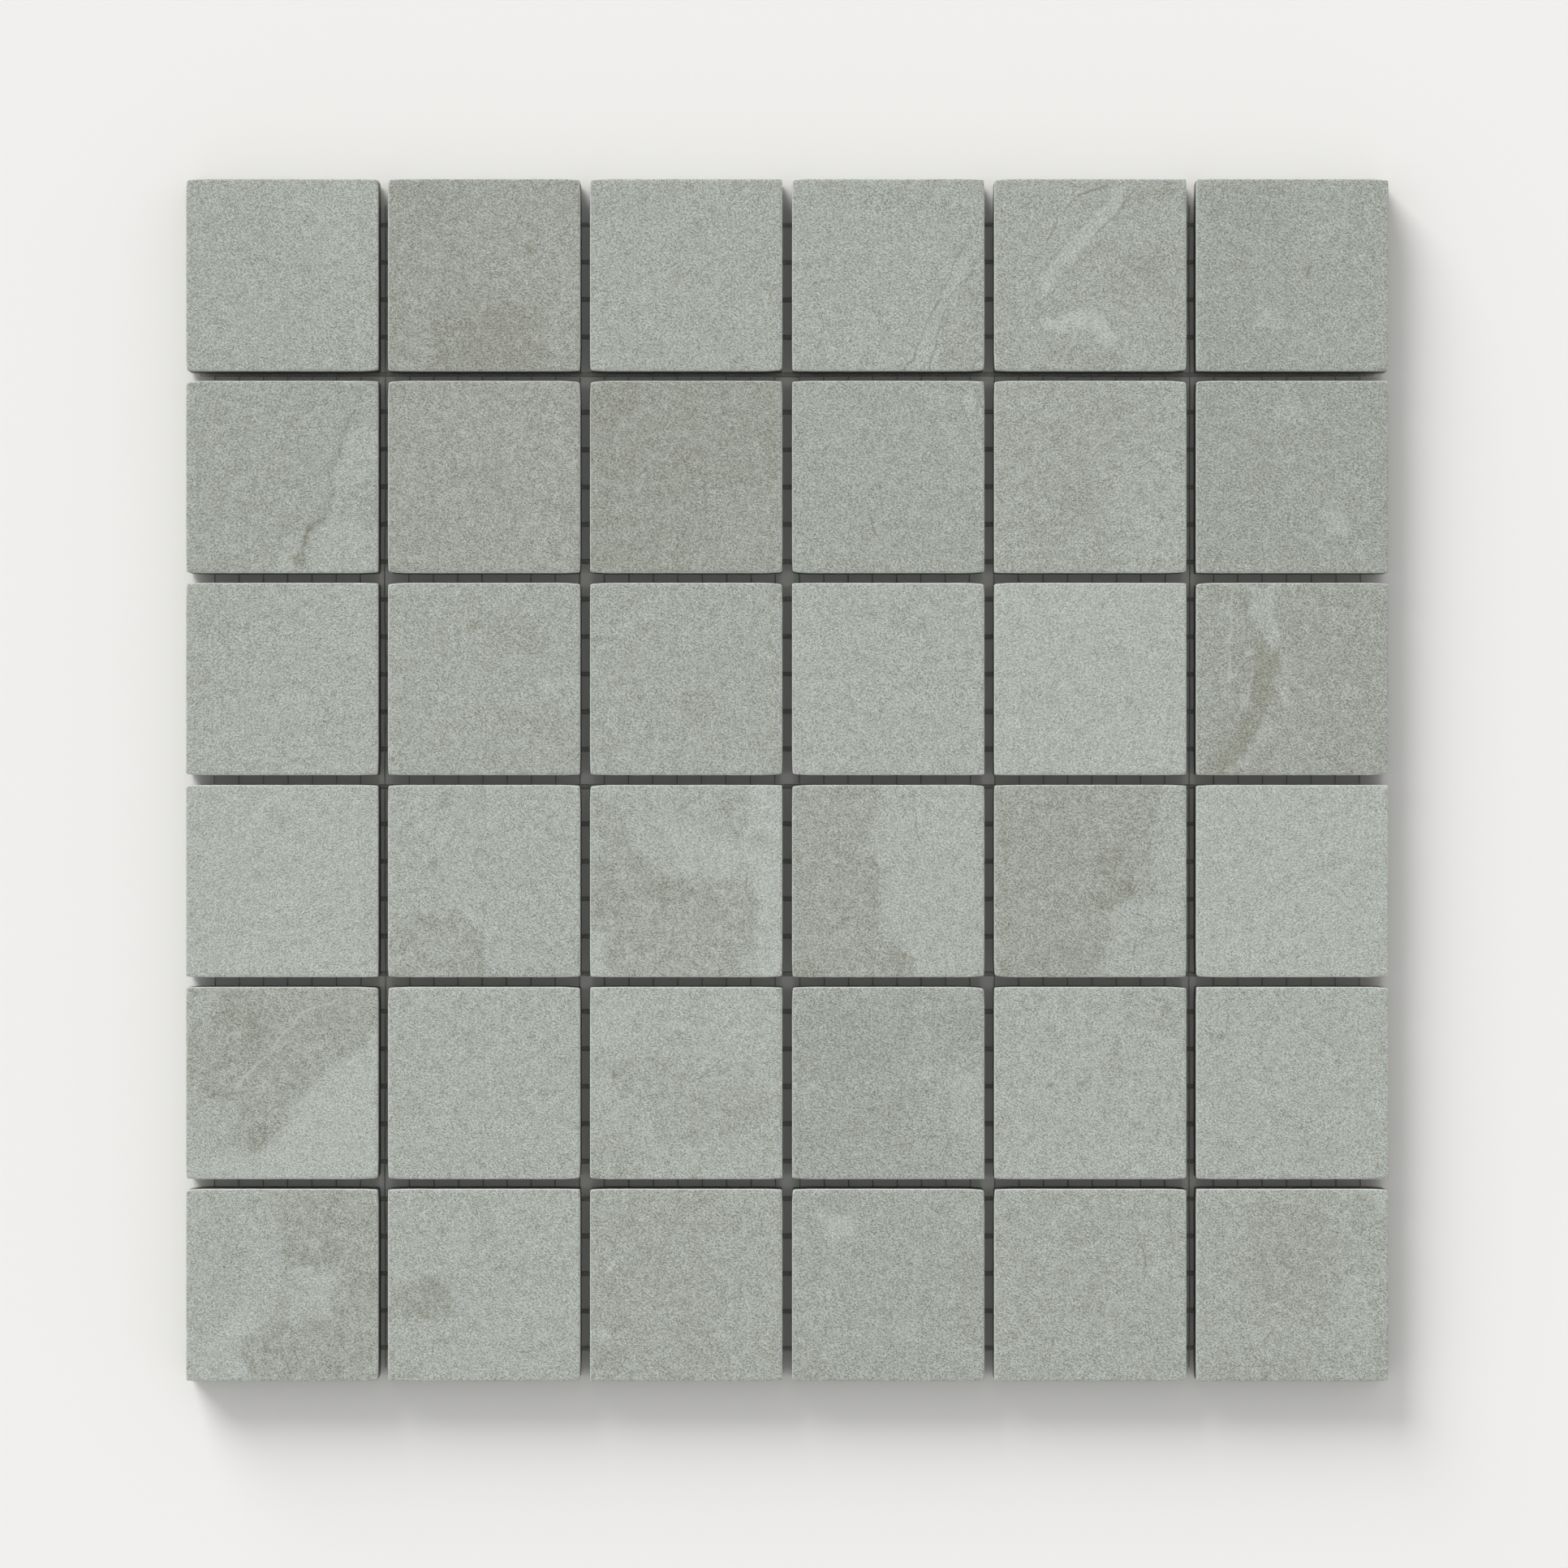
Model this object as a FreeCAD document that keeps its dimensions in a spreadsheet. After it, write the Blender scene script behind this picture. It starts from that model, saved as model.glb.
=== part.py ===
import FreeCAD, Part
import math
import os
import Sketcher

# Mosaic tile sheet: square porcelain chips in rows and columns, glued face up on an open
# glass-fibre net. Millimetres, +Z up. The sheet lies flat with its net on the ground.
# The origin is under the middle of the sheet, on the underside of the net.

# Driving dimensions
DIMENSIONS = [
    ("tile_side", 48.0, "chip across the middle of its sides"),
    ("tile_thickness", 9.0, "chip from its back to its face"),
    ("joint_width", 2.4, "open joint between two chips"),
    ("tiles_across", 6, "chips in a row"),
    ("tiles_down", 6, "chips in a column"),
    ("ease_length", 2.2, "end stretch of a side that eases inwards"),
    ("ease_depth", 0.2, "how far the side has come in at the corner"),
    ("corner_nip", 0.45, "leg of the small flat across a corner"),
    ("arris_bevel", 0.35, "bevel round the face"),
    ("groove_width", 3.0, "mouth of a keying groove in the back"),
    ("groove_depth", 0.5, "depth of a keying groove, and run of its sloping flank"),
    ("groove_pitch", 12.0, "from one keying groove to the next"),
    ("groove_count", 3, "keying grooves in a chip"),
    ("net_side_margin", 2.5, "net short of the left and right edges of the sheet"),
    ("net_top_margin", 5.7, "net short of the upper edge of the sheet"),
    ("net_bottom_margin", 2.5, "net short of the lower edge of the sheet"),
    ("weft_pitch", 9.405, "from one weft tape to the next, up the sheet"),
    ("weft_width", 1.1, "flat weft tape, which runs across the sheet"),
    ("weft_thickness", 0.25, "thickness of a weft tape"),
    ("warp_pitch", 6.12, "from one warp thread to the next, across the sheet"),
    ("warp_width", 0.3, "thin warp thread, which runs up the sheet"),
    ("warp_thickness", 0.15, "thickness of a warp thread, on top of the wefts"),
]

# Lengths that follow from the driving dimensions
HALF_SIDE = "(dims.tile_side / 2)"
EASE_START = f"({HALF_SIDE} - dims.ease_length)"
EASED_SIDE = f"({HALF_SIDE} - dims.ease_depth)"
NIP_START = f"({EASED_SIDE} - dims.corner_nip)"
TILE_STEP = "(dims.tile_side + dims.joint_width)"
SHEET_WIDTH = f"(dims.tiles_across * {TILE_STEP} - dims.joint_width)"
SHEET_LENGTH = f"(dims.tiles_down * {TILE_STEP} - dims.joint_width)"
NET_THICKNESS = "(dims.weft_thickness + dims.warp_thickness)"
NET_LEFT = f"(dims.net_side_margin - {SHEET_WIDTH} / 2)"
NET_BOTTOM = f"(dims.net_bottom_margin - {SHEET_LENGTH} / 2)"
NET_WIDTH = f"({SHEET_WIDTH} - 2 * dims.net_side_margin)"
NET_LENGTH = f"({SHEET_LENGTH} - dims.net_top_margin - dims.net_bottom_margin)"

# Threads in the whole net and in its left and lower parts. The parts meet half way between
# two threads, and the tails past the outer threads share what is left over.
WARPS = f"floor({NET_WIDTH} / dims.warp_pitch)"
WEFTS = f"floor({NET_LENGTH} / dims.weft_pitch)"
LEFT_WARPS = f"floor({WARPS} / 2)"
LOWER_WEFTS = f"ceil({WEFTS} / 2)"
WARP_TAIL = f"(({NET_LENGTH} - ({WEFTS} - 1) * dims.weft_pitch) / 2)"
WEFT_TAIL = f"(({NET_WIDTH} - ({WARPS} - 1) * dims.warp_pitch) / 2)"
LEFT_WIDTH = f"({WEFT_TAIL} + ({LEFT_WARPS} - 0.5) * dims.warp_pitch)"
LOWER_LENGTH = f"({WARP_TAIL} + ({LOWER_WEFTS} - 0.5) * dims.weft_pitch)"


def make_dimensions(doc):
    """The sheet of driving dimensions: value, alias and meaning in each row."""
    dims = doc.addObject("Spreadsheet::Sheet", "dims")
    for row, (alias, value, meaning) in enumerate(DIMENSIONS, start=1):
        dims.set(f"A{row}", str(value))
        dims.setAlias(f"A{row}", alias)
        dims.set(f"B{row}", meaning)
    doc.recompute()
    return dims


def origin_plane(body, role):
    """One of the body's own origin planes."""
    return next(item for item in body.Origin.OriginFeatures if item.Role == role)


def add_sketch(body, name, role):
    """An empty sketch on one of the body's own origin planes."""
    sketch = body.newObject("Sketcher::SketchObject", name)
    sketch.AttachmentSupport = (origin_plane(body, role), "")
    sketch.MapMode = "FlatFace"
    return sketch


def close_outline(sketch, points):
    """Straight lines from point to point, joined end to end and back to the first."""
    for start, end in zip(points, points[1:] + points[:1]):
        sketch.addGeometry(Part.LineSegment(FreeCAD.Vector(*start), FreeCAD.Vector(*end)), False)
    for line in range(len(points)):
        sketch.addConstraint(Sketcher.Constraint("Coincident", line, 2, (line + 1) % len(points), 1))


def dimension(sketch, name, kind, elements, expression):
    """A named dimension of the sketch, bound to the sheet."""
    index = sketch.addConstraint(Sketcher.Constraint(kind, *elements, 1.0))
    sketch.renameConstraint(index, name)
    sketch.setExpression(f"Constraints.{name}", expression)


def bind(feature, **expressions):
    """Bind properties of a feature to the sheet. A double underscore stands for a dot."""
    for name, expression in expressions.items():
        feature.setExpression(name.replace("__", "."), expression)


def draw_tile_outline(sketch, dims):
    """The plan of a chip: straight sides that ease in towards four nipped corners.

    The points run anticlockwise from the right side, four to a corner. Those of the first
    corner are dimensioned, and the rest are symmetric to them.
    """
    half = dims.tile_side / 2
    eased = half - dims.ease_depth
    corner = [
        (half, half - dims.ease_length),
        (eased, eased - dims.corner_nip),
        (eased - dims.corner_nip, eased),
        (half - dims.ease_length, half),
    ]
    upper = corner + [(-x, y) for x, y in reversed(corner)]
    lower = [(-x, -y) for x, y in upper]
    close_outline(sketch, [(x, y, 0) for x, y in upper + lower])
    for point in range(4):
        sketch.addConstraint(Sketcher.Constraint("Symmetric", point, 1, 7 - point, 1, -2))
        sketch.addConstraint(Sketcher.Constraint("Symmetric", 8 + point, 1, 15 - point, 1, -2))
        sketch.addConstraint(Sketcher.Constraint("Symmetric", point, 1, 15 - point, 1, -1))
    places = [
        ("side", HALF_SIDE, EASE_START),
        ("nip_low", EASED_SIDE, NIP_START),
        ("nip_high", NIP_START, EASED_SIDE),
        ("top", EASE_START, HALF_SIDE),
    ]
    for point, (name, across, up) in enumerate(places):
        dimension(sketch, f"{name}_x", "DistanceX", (-1, 1, point, 1), across)
        dimension(sketch, f"{name}_y", "DistanceY", (-1, 1, point, 1), up)


def draw_groove(sketch, dims):
    """The section of a keying groove, widest at the back face of the chip."""
    mouth = dims.groove_width / 2
    floor = mouth - dims.groove_depth
    depth = dims.groove_depth
    close_outline(sketch, [(-mouth, 0, 0), (mouth, 0, 0), (floor, depth, 0), (-floor, depth, 0)])
    sketch.addConstraint(Sketcher.Constraint("Symmetric", 0, 1, 1, 1, -2))
    sketch.addConstraint(Sketcher.Constraint("Symmetric", 2, 1, 3, 1, -2))
    sketch.addConstraint(Sketcher.Constraint("PointOnObject", 0, 1, -1))
    dimension(sketch, "mouth", "DistanceX", (0, 1, 0, 2), "dims.groove_width")
    dimension(sketch, "floor", "DistanceX", (3, 1, 2, 1), "dims.groove_width - 2 * dims.groove_depth")
    dimension(sketch, "depth", "DistanceY", (-1, 1, 2, 1), "dims.groove_depth")


def draw_bar(sketch, width, length):
    """A rectangle about the sketch's own origin."""
    close_outline(sketch, [(-1, -1, 0), (1, -1, 0), (1, 1, 0), (-1, 1, 0)])
    for line in (0, 2):
        sketch.addConstraint(Sketcher.Constraint("Horizontal", line))
        sketch.addConstraint(Sketcher.Constraint("Vertical", line + 1))
    sketch.addConstraint(Sketcher.Constraint("Symmetric", 0, 1, 2, 1, -1, 1))
    dimension(sketch, "width", "DistanceX", (0, 1, 0, 2), width)
    dimension(sketch, "length", "DistanceY", (1, 1, 1, 2), length)


def repeat(body, name, feature, direction, pitch, count):
    """Copies of one feature in a straight row."""
    pattern = body.newObject("PartDesign::LinearPattern", name)
    pattern.Originals = [feature]
    pattern.Direction = direction
    pattern.Mode = "Spacing"
    bind(pattern, Offset=pitch, Occurrences=count)
    body.Tip = pattern
    return pattern


def make_tile(doc, dims, row, column):
    """One chip: padded outline, bevel round the face, keying grooves across the back."""
    name = f"tile_r{row}_c{column}"
    body = doc.addObject("PartDesign::Body", name)

    outline = add_sketch(body, f"{name}_outline", "XY_Plane")
    draw_tile_outline(outline, dims)
    chip = body.newObject("PartDesign::Pad", f"{name}_chip")
    chip.Profile = outline
    bind(chip, Length="dims.tile_thickness")
    doc.recompute()

    heights = [face.CenterOfMass.z for face in chip.Shape.Faces]
    bevel = body.newObject("PartDesign::Chamfer", f"{name}_arris")
    bevel.Base = (chip, [f"Face{heights.index(max(heights)) + 1}"])
    bind(bevel, Size="dims.arris_bevel")

    section = add_sketch(body, f"{name}_groove_section", "XZ_Plane")
    draw_groove(section, dims)
    bind(section, AttachmentOffset__Base__x="-dims.groove_pitch * (dims.groove_count - 1) / 2")
    groove = body.newObject("PartDesign::Pocket", f"{name}_groove")
    groove.Profile = section
    groove.SideType = "Symmetric"
    groove.Type = "ThroughAll"
    repeat(body, f"{name}_grooves", groove, (section, ["H_Axis"]), "dims.groove_pitch", "dims.groove_count")

    bind(
        body,
        Placement__Base__x=f"({column} - (dims.tiles_across + 1) / 2) * {TILE_STEP}",
        Placement__Base__y=f"((dims.tiles_down + 1) / 2 - {row}) * {TILE_STEP}",
        Placement__Base__z=NET_THICKNESS,
    )
    return body


def make_net_part(doc, name, place, size, first, count):
    """One part of the net: flat weft tapes across, thin warp threads fused on top of them.

    place is its lower left corner, size its width and length, first the distance of its first
    warp and first weft from that corner, and count its warps and wefts.
    """
    body = doc.addObject("PartDesign::Body", name)
    body.AllowCompound = True

    tape = add_sketch(body, f"{name}_tape", "XY_Plane")
    draw_bar(tape, size[0], "dims.weft_width")
    bind(tape, AttachmentOffset__Base__x=f"{size[0]} / 2", AttachmentOffset__Base__y=first[1])
    weft = body.newObject("PartDesign::Pad", f"{name}_weft")
    weft.Profile = tape
    bind(weft, Length="dims.weft_thickness")
    repeat(body, f"{name}_wefts", weft, (tape, ["V_Axis"]), "dims.weft_pitch", count[1])

    thread = add_sketch(body, f"{name}_thread", "XY_Plane")
    draw_bar(thread, "dims.warp_width", size[1])
    bind(
        thread,
        AttachmentOffset__Base__x=first[0],
        AttachmentOffset__Base__y=f"{size[1]} / 2",
        AttachmentOffset__Base__z="dims.weft_thickness",
    )
    warp = body.newObject("PartDesign::Pad", f"{name}_warp")
    warp.Profile = thread
    bind(warp, Length="dims.warp_thickness")
    repeat(body, f"{name}_warps", warp, (thread, ["H_Axis"]), "dims.warp_pitch", count[0])

    bind(body, Placement__Base__x=place[0], Placement__Base__y=place[1])
    return body


def make_net(doc):
    """The net in four parts, left and right of its middle and below and above it."""
    half_warp = "(dims.warp_pitch / 2)"
    half_weft = "(dims.weft_pitch / 2)"
    columns = [
        ("left", NET_LEFT, LEFT_WIDTH, WEFT_TAIL, LEFT_WARPS),
        ("right", f"{NET_LEFT} + {LEFT_WIDTH}", f"({NET_WIDTH} - {LEFT_WIDTH})", half_warp,
         f"{WARPS} - {LEFT_WARPS}"),
    ]
    rows = [
        ("bottom", NET_BOTTOM, LOWER_LENGTH, WARP_TAIL, LOWER_WEFTS),
        ("top", f"{NET_BOTTOM} + {LOWER_LENGTH}", f"({NET_LENGTH} - {LOWER_LENGTH})", half_weft,
         f"{WEFTS} - {LOWER_WEFTS}"),
    ]
    parts = []
    for side, left, width, first_warp, warps in columns:
        for level, bottom, length, first_weft, wefts in rows:
            name = f"net_{level}_{side}"
            part = make_net_part(doc, name, (left, bottom), (width, length),
                                 (first_warp, first_weft), (warps, wefts))
            parts.append(part)
    return parts


def check(doc, dims, tiles, net):
    """Stop if a feature failed, or if a piece isn't one valid solid of about the right volume."""
    for item in doc.Objects:
        if "Invalid" in item.State or "Error" in item.State:
            raise RuntimeError(f"{item.Label} failed: {item.State}")
    for body in tiles + net:
        shape = body.Shape
        if shape.isNull() or not shape.isValid() or len(shape.Solids) != 1:
            raise RuntimeError(f"{body.Label} is not one valid solid")
    block = dims.tile_side ** 2 * dims.tile_thickness
    groove_section = dims.groove_depth * (dims.groove_width - dims.groove_depth)
    grooves = dims.groove_count * groove_section * dims.tile_side
    for body in tiles:
        missing = block - body.Shape.Volume
        if not 0.9 * grooves < missing < grooves + 0.03 * block:
            raise RuntimeError(f"{body.Label} has lost its grooves or too much of its block")
    net_volume = sum(body.Shape.Volume for body in net)
    print(f"{len(tiles)} tiles of {tiles[0].Shape.Volume:.1f} mm3, net {net_volume:.1f} mm3")


def main():
    doc = FreeCAD.newDocument("mosaic_tile_sheet")
    dims = make_dimensions(doc)
    tiles = [
        make_tile(doc, dims, row, column)
        for row in range(1, math.floor(dims.tiles_down) + 1)
        for column in range(1, math.floor(dims.tiles_across) + 1)
    ]
    net = make_net(doc)
    doc.recompute()
    check(doc, dims, tiles, net)
    os.makedirs("parts", exist_ok=True)
    for body in tiles + net:
        body.Shape.exportStep(f"parts/{body.Label}.step")


main()
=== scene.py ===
# %% [markdown]
# # A mosaic tile sheet
# Thirty-six small ceramic tiles, six rows of six, are glued on a thin glass-fibre net. A tiler lays the
# whole sheet in mortar at once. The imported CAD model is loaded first, because it says where every tile
# and the net lie. Everything below only gives those pieces their real surfaces, in the same frame.

# %% Load the frame
import math

import bpy
import numpy as np
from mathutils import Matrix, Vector


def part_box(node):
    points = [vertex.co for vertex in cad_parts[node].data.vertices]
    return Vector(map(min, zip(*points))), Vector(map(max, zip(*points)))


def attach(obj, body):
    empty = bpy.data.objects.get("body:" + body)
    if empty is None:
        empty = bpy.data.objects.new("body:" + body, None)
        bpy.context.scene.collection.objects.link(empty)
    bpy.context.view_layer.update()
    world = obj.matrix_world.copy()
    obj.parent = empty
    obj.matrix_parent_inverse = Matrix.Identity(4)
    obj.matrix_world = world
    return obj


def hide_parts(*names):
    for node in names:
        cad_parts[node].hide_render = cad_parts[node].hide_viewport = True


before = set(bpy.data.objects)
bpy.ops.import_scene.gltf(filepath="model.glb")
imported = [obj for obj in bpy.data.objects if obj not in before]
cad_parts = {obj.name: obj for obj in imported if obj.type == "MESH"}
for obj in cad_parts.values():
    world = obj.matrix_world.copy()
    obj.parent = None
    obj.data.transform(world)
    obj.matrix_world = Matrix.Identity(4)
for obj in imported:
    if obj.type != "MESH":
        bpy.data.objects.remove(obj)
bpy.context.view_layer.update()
MM = 0.001
tile_nodes = sorted(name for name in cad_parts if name.startswith("tile_"))
net_nodes = sorted(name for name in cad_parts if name.startswith("net_"))

# %% [markdown]
# ## The camera
# The sheet lies flat and is looked at from straight above. A long lens a good metre away keeps the tiles
# square in the picture and still lets each joint show a little of its far wall. A camera that isn't
# turned looks down its own -Z axis with +Y up, so it needs a place and a lens, and no rotation.

# %% Place the camera
def add_object(name, data):
    """A new object in the scene."""
    added = bpy.data.objects.new(name, data)
    bpy.context.scene.collection.objects.link(added)
    return added


first_low, first_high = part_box("tile_r1_c1")
tile_top = first_high.z
lens_height = 1310 * MM
lens_aside = -0.81 * MM
lens_back = -0.98 * MM
lens_place = Vector((lens_aside, lens_back, tile_top + lens_height))

camera_data = bpy.data.cameras.new("camera")
camera_data.sensor_width = 36
camera_data.lens = 120.6
camera = add_object("camera", camera_data)
camera.location = lens_place
bpy.context.scene.camera = camera
bpy.context.scene.view_settings.view_transform = "Standard"
print("camera at", [round(c, 4) for c in camera.location])

# %% [markdown]
# ## Light
# Two things light a tile here: a bright room all round, and one broad window low at the upper left. The
# window gives the sheet its soft shadow at the right and below, and lights the edges that face it. The
# world does the room. Its walls are bright and its ceiling is dimmer, which keeps the joints dark. A sun
# lamp as wide as a window does the rest, and is simpler than an area lamp: it lights all 36 tiles alike.

# %% Light the scene
room_share = 0.63
ceiling_to_walls = 0.3
window_share = 0.37
window_width = math.radians(35)
window_bearing = math.radians(120.5)
window_height = math.radians(20.3)
towards_window = Vector((
    math.cos(window_height) * math.cos(window_bearing),
    math.cos(window_height) * math.sin(window_bearing),
    math.sin(window_height),
))

# A level floor gets room_share of its light from such walls and ceiling together.
wall_brightness = 3 * room_share / (1 + 2 * ceiling_to_walls)

world = bpy.data.worlds.new("room")
world.use_nodes = True
world_nodes = world.node_tree.nodes
world_links = world.node_tree.links
room = world_nodes["Background"]
room.inputs["Color"].default_value = (1, 1, 1, 1)
direction = world_nodes.new("ShaderNodeTexCoord")
split = world_nodes.new("ShaderNodeSeparateXYZ")
dimmer = world_nodes.new("ShaderNodeMapRange")
dimmer.inputs["To Min"].default_value = wall_brightness
dimmer.inputs["To Max"].default_value = wall_brightness * ceiling_to_walls
world_links.new(direction.outputs["Generated"], split.inputs["Vector"])
world_links.new(split.outputs["Z"], dimmer.inputs["Value"])
world_links.new(dimmer.outputs["Result"], room.inputs["Strength"])
bpy.context.scene.world = world

window_data = bpy.data.lights.new("window", "SUN")
window_data.energy = window_share * math.pi / math.sin(window_height)
window_data.angle = window_width
window = add_object("window", window_data)
window.rotation_euler = towards_window.to_track_quat("Z", "Y").to_euler()
print("the window's light falls with", round(window_data.energy, 2), "W for each square metre across it")

# %% [markdown]
# ## Colours as the eye sees them
# Blender's sockets want linear light, but a tiler names a colour as it looks on a screen, from 0 to 255.
# One short helper turns the second into the first, so every colour in this file can be written as seen.

# %% A helper for colours
def seen(red, green, blue):
    """The linear colour of what looks like red, green, blue (0 to 255) on a screen."""
    levels = [channel / 255 for channel in (red, green, blue)]
    return tuple(((level + 0.055) / 1.055) ** 2.4 for level in levels) + (1.0,)


print("a mid stone grey in linear light:", [round(c, 3) for c in seen(166, 171, 164)])

# %% [markdown]
# ## The floor
# The sheet lies on a plain pale floor. One large quad is enough: its colour alone makes the pale
# background, and it catches the sheet's shadow. It is stage, not part of the object.

# %% Lay the floor
floor_half = 10.0


def new_material(name):
    """A new material and its shader."""
    material = bpy.data.materials.new(name)
    material.use_nodes = True
    return material, material.node_tree.nodes["Principled BSDF"]


def make_floor():
    """A pale floor without shine, at height zero."""
    material, shader = new_material("pale floor")
    shader.inputs["Base Color"].default_value = seen(241, 240, 238)
    shader.inputs["Roughness"].default_value = 1.0
    shader.inputs["Specular IOR Level"].default_value = 0.0
    mesh = bpy.data.meshes.new("floor")
    corners = [(-1, -1), (1, -1), (1, 1), (-1, 1)]
    mesh.from_pydata([(x * floor_half, y * floor_half, 0) for x, y in corners], [], [(0, 1, 2, 3)])
    mesh.materials.append(material)
    floor = add_object("floor", mesh)


make_floor()
print("floor is", 2 * floor_half, "m wide")

# %% [markdown]
# ## Smooth noise for shapes
# A fired tile is never quite flat or straight. Its unevenness is smooth and random, and has to come out
# the same on every run. Random values on a coarse lattice, blended between lattice points, give just
# that. The lattice is drawn from a seeded generator, so a seed and a feature size name one surface.

# %% Noise on a lattice
lattice_size = 96


def ease(value):
    """0 below 0, 1 above 1, and a smooth slope between."""
    value = np.clip(value, 0, 1)
    return value * value * (3 - 2 * value)


def soft_noise(x, y, feature, seed):
    """Smooth noise from -1 to 1, with features about `feature` mm wide."""
    lattice = np.random.default_rng(seed).uniform(-1, 1, (lattice_size, lattice_size))
    across = x / feature + lattice_size / 2
    up = y / feature + lattice_size / 2
    column = np.floor(across).astype(int) % lattice_size
    row = np.floor(up).astype(int) % lattice_size
    next_column = (column + 1) % lattice_size
    next_row = (row + 1) % lattice_size
    share_x = ease(across - np.floor(across))
    share_y = ease(up - np.floor(up))
    lower = lattice[row, column] * (1 - share_x) + lattice[row, next_column] * share_x
    upper = lattice[next_row, column] * (1 - share_x) + lattice[next_row, next_column] * share_x
    return lower * (1 - share_y) + upper * share_y


trial_noise = soft_noise(np.array([0.3]), np.array([0.2]), 4, 1)
print("noise near the middle of a tile:", round(float(trial_noise[0]), 3))

# %% [markdown]
# ## Near a line, inside an outline
# Every mark on a face follows a line or fills an outline, so two measures come first: how far a place lies
# from a line of points, and whether it lies inside an outline. Painting a picture would be simpler, but it
# would have to be stored as one. These work on all places of a face at once, and stay sharp at any size.

# %% Measure from lines and outlines
def side_of_line(x, y, points):
    """Distance to a line of points, below 0 at its right, and how far past the line's ends a place is."""
    nearest = np.full(x.shape, np.inf)
    side = np.zeros(x.shape)
    past = np.zeros(x.shape)
    last = len(points) - 2
    for number, ((x0, y0), (x1, y1)) in enumerate(zip(points, points[1:])):
        run_x = x1 - x0
        run_y = y1 - y0
        length = math.hypot(run_x, run_y)
        share = ((x - x0) * run_x + (y - y0) * run_y) / length ** 2
        held = np.clip(share, 0, 1)
        gap = np.hypot(x - x0 - held * run_x, y - y0 - held * run_y)
        left = np.where(run_x * (y - y0) > run_y * (x - x0), 1, -1)
        before = np.clip(-share, 0, None) * length * (number == 0)
        after = np.clip(share - 1, 0, None) * length * (number == last)
        closer = gap < nearest
        nearest = np.where(closer, gap, nearest)
        side = np.where(closer, gap * left, side)
        past = np.where(closer, before + after, past)
    return side, past


def distance_to_line(x, y, points):
    """Distance from each place to the nearest point of a line."""
    return np.abs(side_of_line(x, y, points)[0])


def is_inside(x, y, corners):
    """True where a place lies inside the outline."""
    inside = np.zeros(x.shape, bool)
    for (x0, y0), (x1, y1) in zip(corners, corners[1:] + corners[:1]):
        if y0 != y1:
            crosses = (y0 > y) != (y1 > y)
            inside ^= crosses & (x < x0 + (y - y0) * (x1 - x0) / (y1 - y0))
    return inside


trial_side = side_of_line(np.array([-3]), np.array([1]), [(0, 0), (0, 10)])[0]
print("a place 3 mm to the left of a line that runs up is at", float(trial_side[0]), "mm")

# %% [markdown]
# ## Marks on the faces
# The faces look like split stone: a pale grey ground, brown clouds with ragged edges, chalky veins, a few
# rusty cracks. No two tiles are alike, so the marks are placed one by one, in millimetres from the middle
# of each tile, like notes to a decorator. A patch has an outline, a band follows a line, and spots are
# round.
# Each names a tint, how strong it is, and how soft or wide. Cracks and veins are finer than the mesh can
# be, so the mesh only carries how far off they are and on which side, and the material draws them.

# %% Kinds of mark
def patch(tint, amount, soft, *corners):
    """A cloud with an outline, whose edge fades over `soft` mm."""
    corners = list(corners)

    def cover(x, y):
        gap = distance_to_line(x, y, corners + corners[:1])
        inward = np.where(is_inside(x, y, corners), gap, -gap)
        return ease(0.5 + inward / soft)

    return tint, amount, cover


def band(tint, amount, width, *points):
    """A strip of one width along a line."""
    points = list(points)

    def cover(x, y):
        return ease(1.5 - distance_to_line(x, y, points) / (width / 2))

    return tint, amount, cover


def crack(reach, *points):
    """A dark hairline, `reach` mm to each side of a line."""
    return "crack", reach, list(points)


def vein(reach, *points):
    """A chalky hairline, `reach` mm to each side of a line."""
    return "vein", reach, list(points)


def spots(tint, amount, radius, *centres):
    """Round spots of one radius."""

    def cover(x, y):
        nearest = np.min([np.hypot(x - cx, y - cy) for cx, cy in centres], axis=0)
        return ease(1.5 - nearest / radius)

    return tint, amount, cover


tones = {
    "pale": {"pale": 0.5},
    "bright": {"pale": 0.2},
    "light": {},
    "middle": {"warm": 0.1},
    "grey": {"plum": 0.35},
    "dark": {"warm": 0.36},
    "slate": {"plum": 0.6, "warm": 0.08},
    "darkest": {"warm": 0.6, "plum": 0.15},
}
faces = {}


def marks_so_far():
    """How many marks the faces have."""
    return sum(len(marks) for tone, marks in faces.values())


print("tones:", ", ".join(tones))

# %% [markdown]
# ## The top row
# The second tile is brown. The fourth has thin cracks on both sides of a chalky strip, and the fifth a
# pale strip that slants down to the left, with a pale arch below it.

# %% Marks of row 1
faces["r1_c1"] = ("light", [
    patch("pale", 0.3, 12, (0, 24), (24, 24), (24, 0), (8, 4)),
])
faces["r1_c2"] = ("dark", [
    patch("warm", 0.54, 6, (-20, 24), (-9, 24), (-7, 8), (0, 4), (3, -6), (14, -9), (15, -24),
          (-12, -24), (-15, -6), (-20, 6)),
    patch("plum", 0.35, 6, (-20, 24), (9, 24), (9, 4), (-5, -10), (-20, -10)),
    patch("warm", 0.25, 5, (-24, 6), (-19, 4), (-17, -22), (-24, -22)),
    vein(0.3, (20, 0), (19, -8)),
    vein(0.2, (0, -4), (0, -8)),
    spots("warm", 0.9, 1, (12, 6)),
])
faces["r1_c3"] = ("light", [
    spots("warm", 0.65, 0.8, (6, -1), (12, -21)),
])
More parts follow.
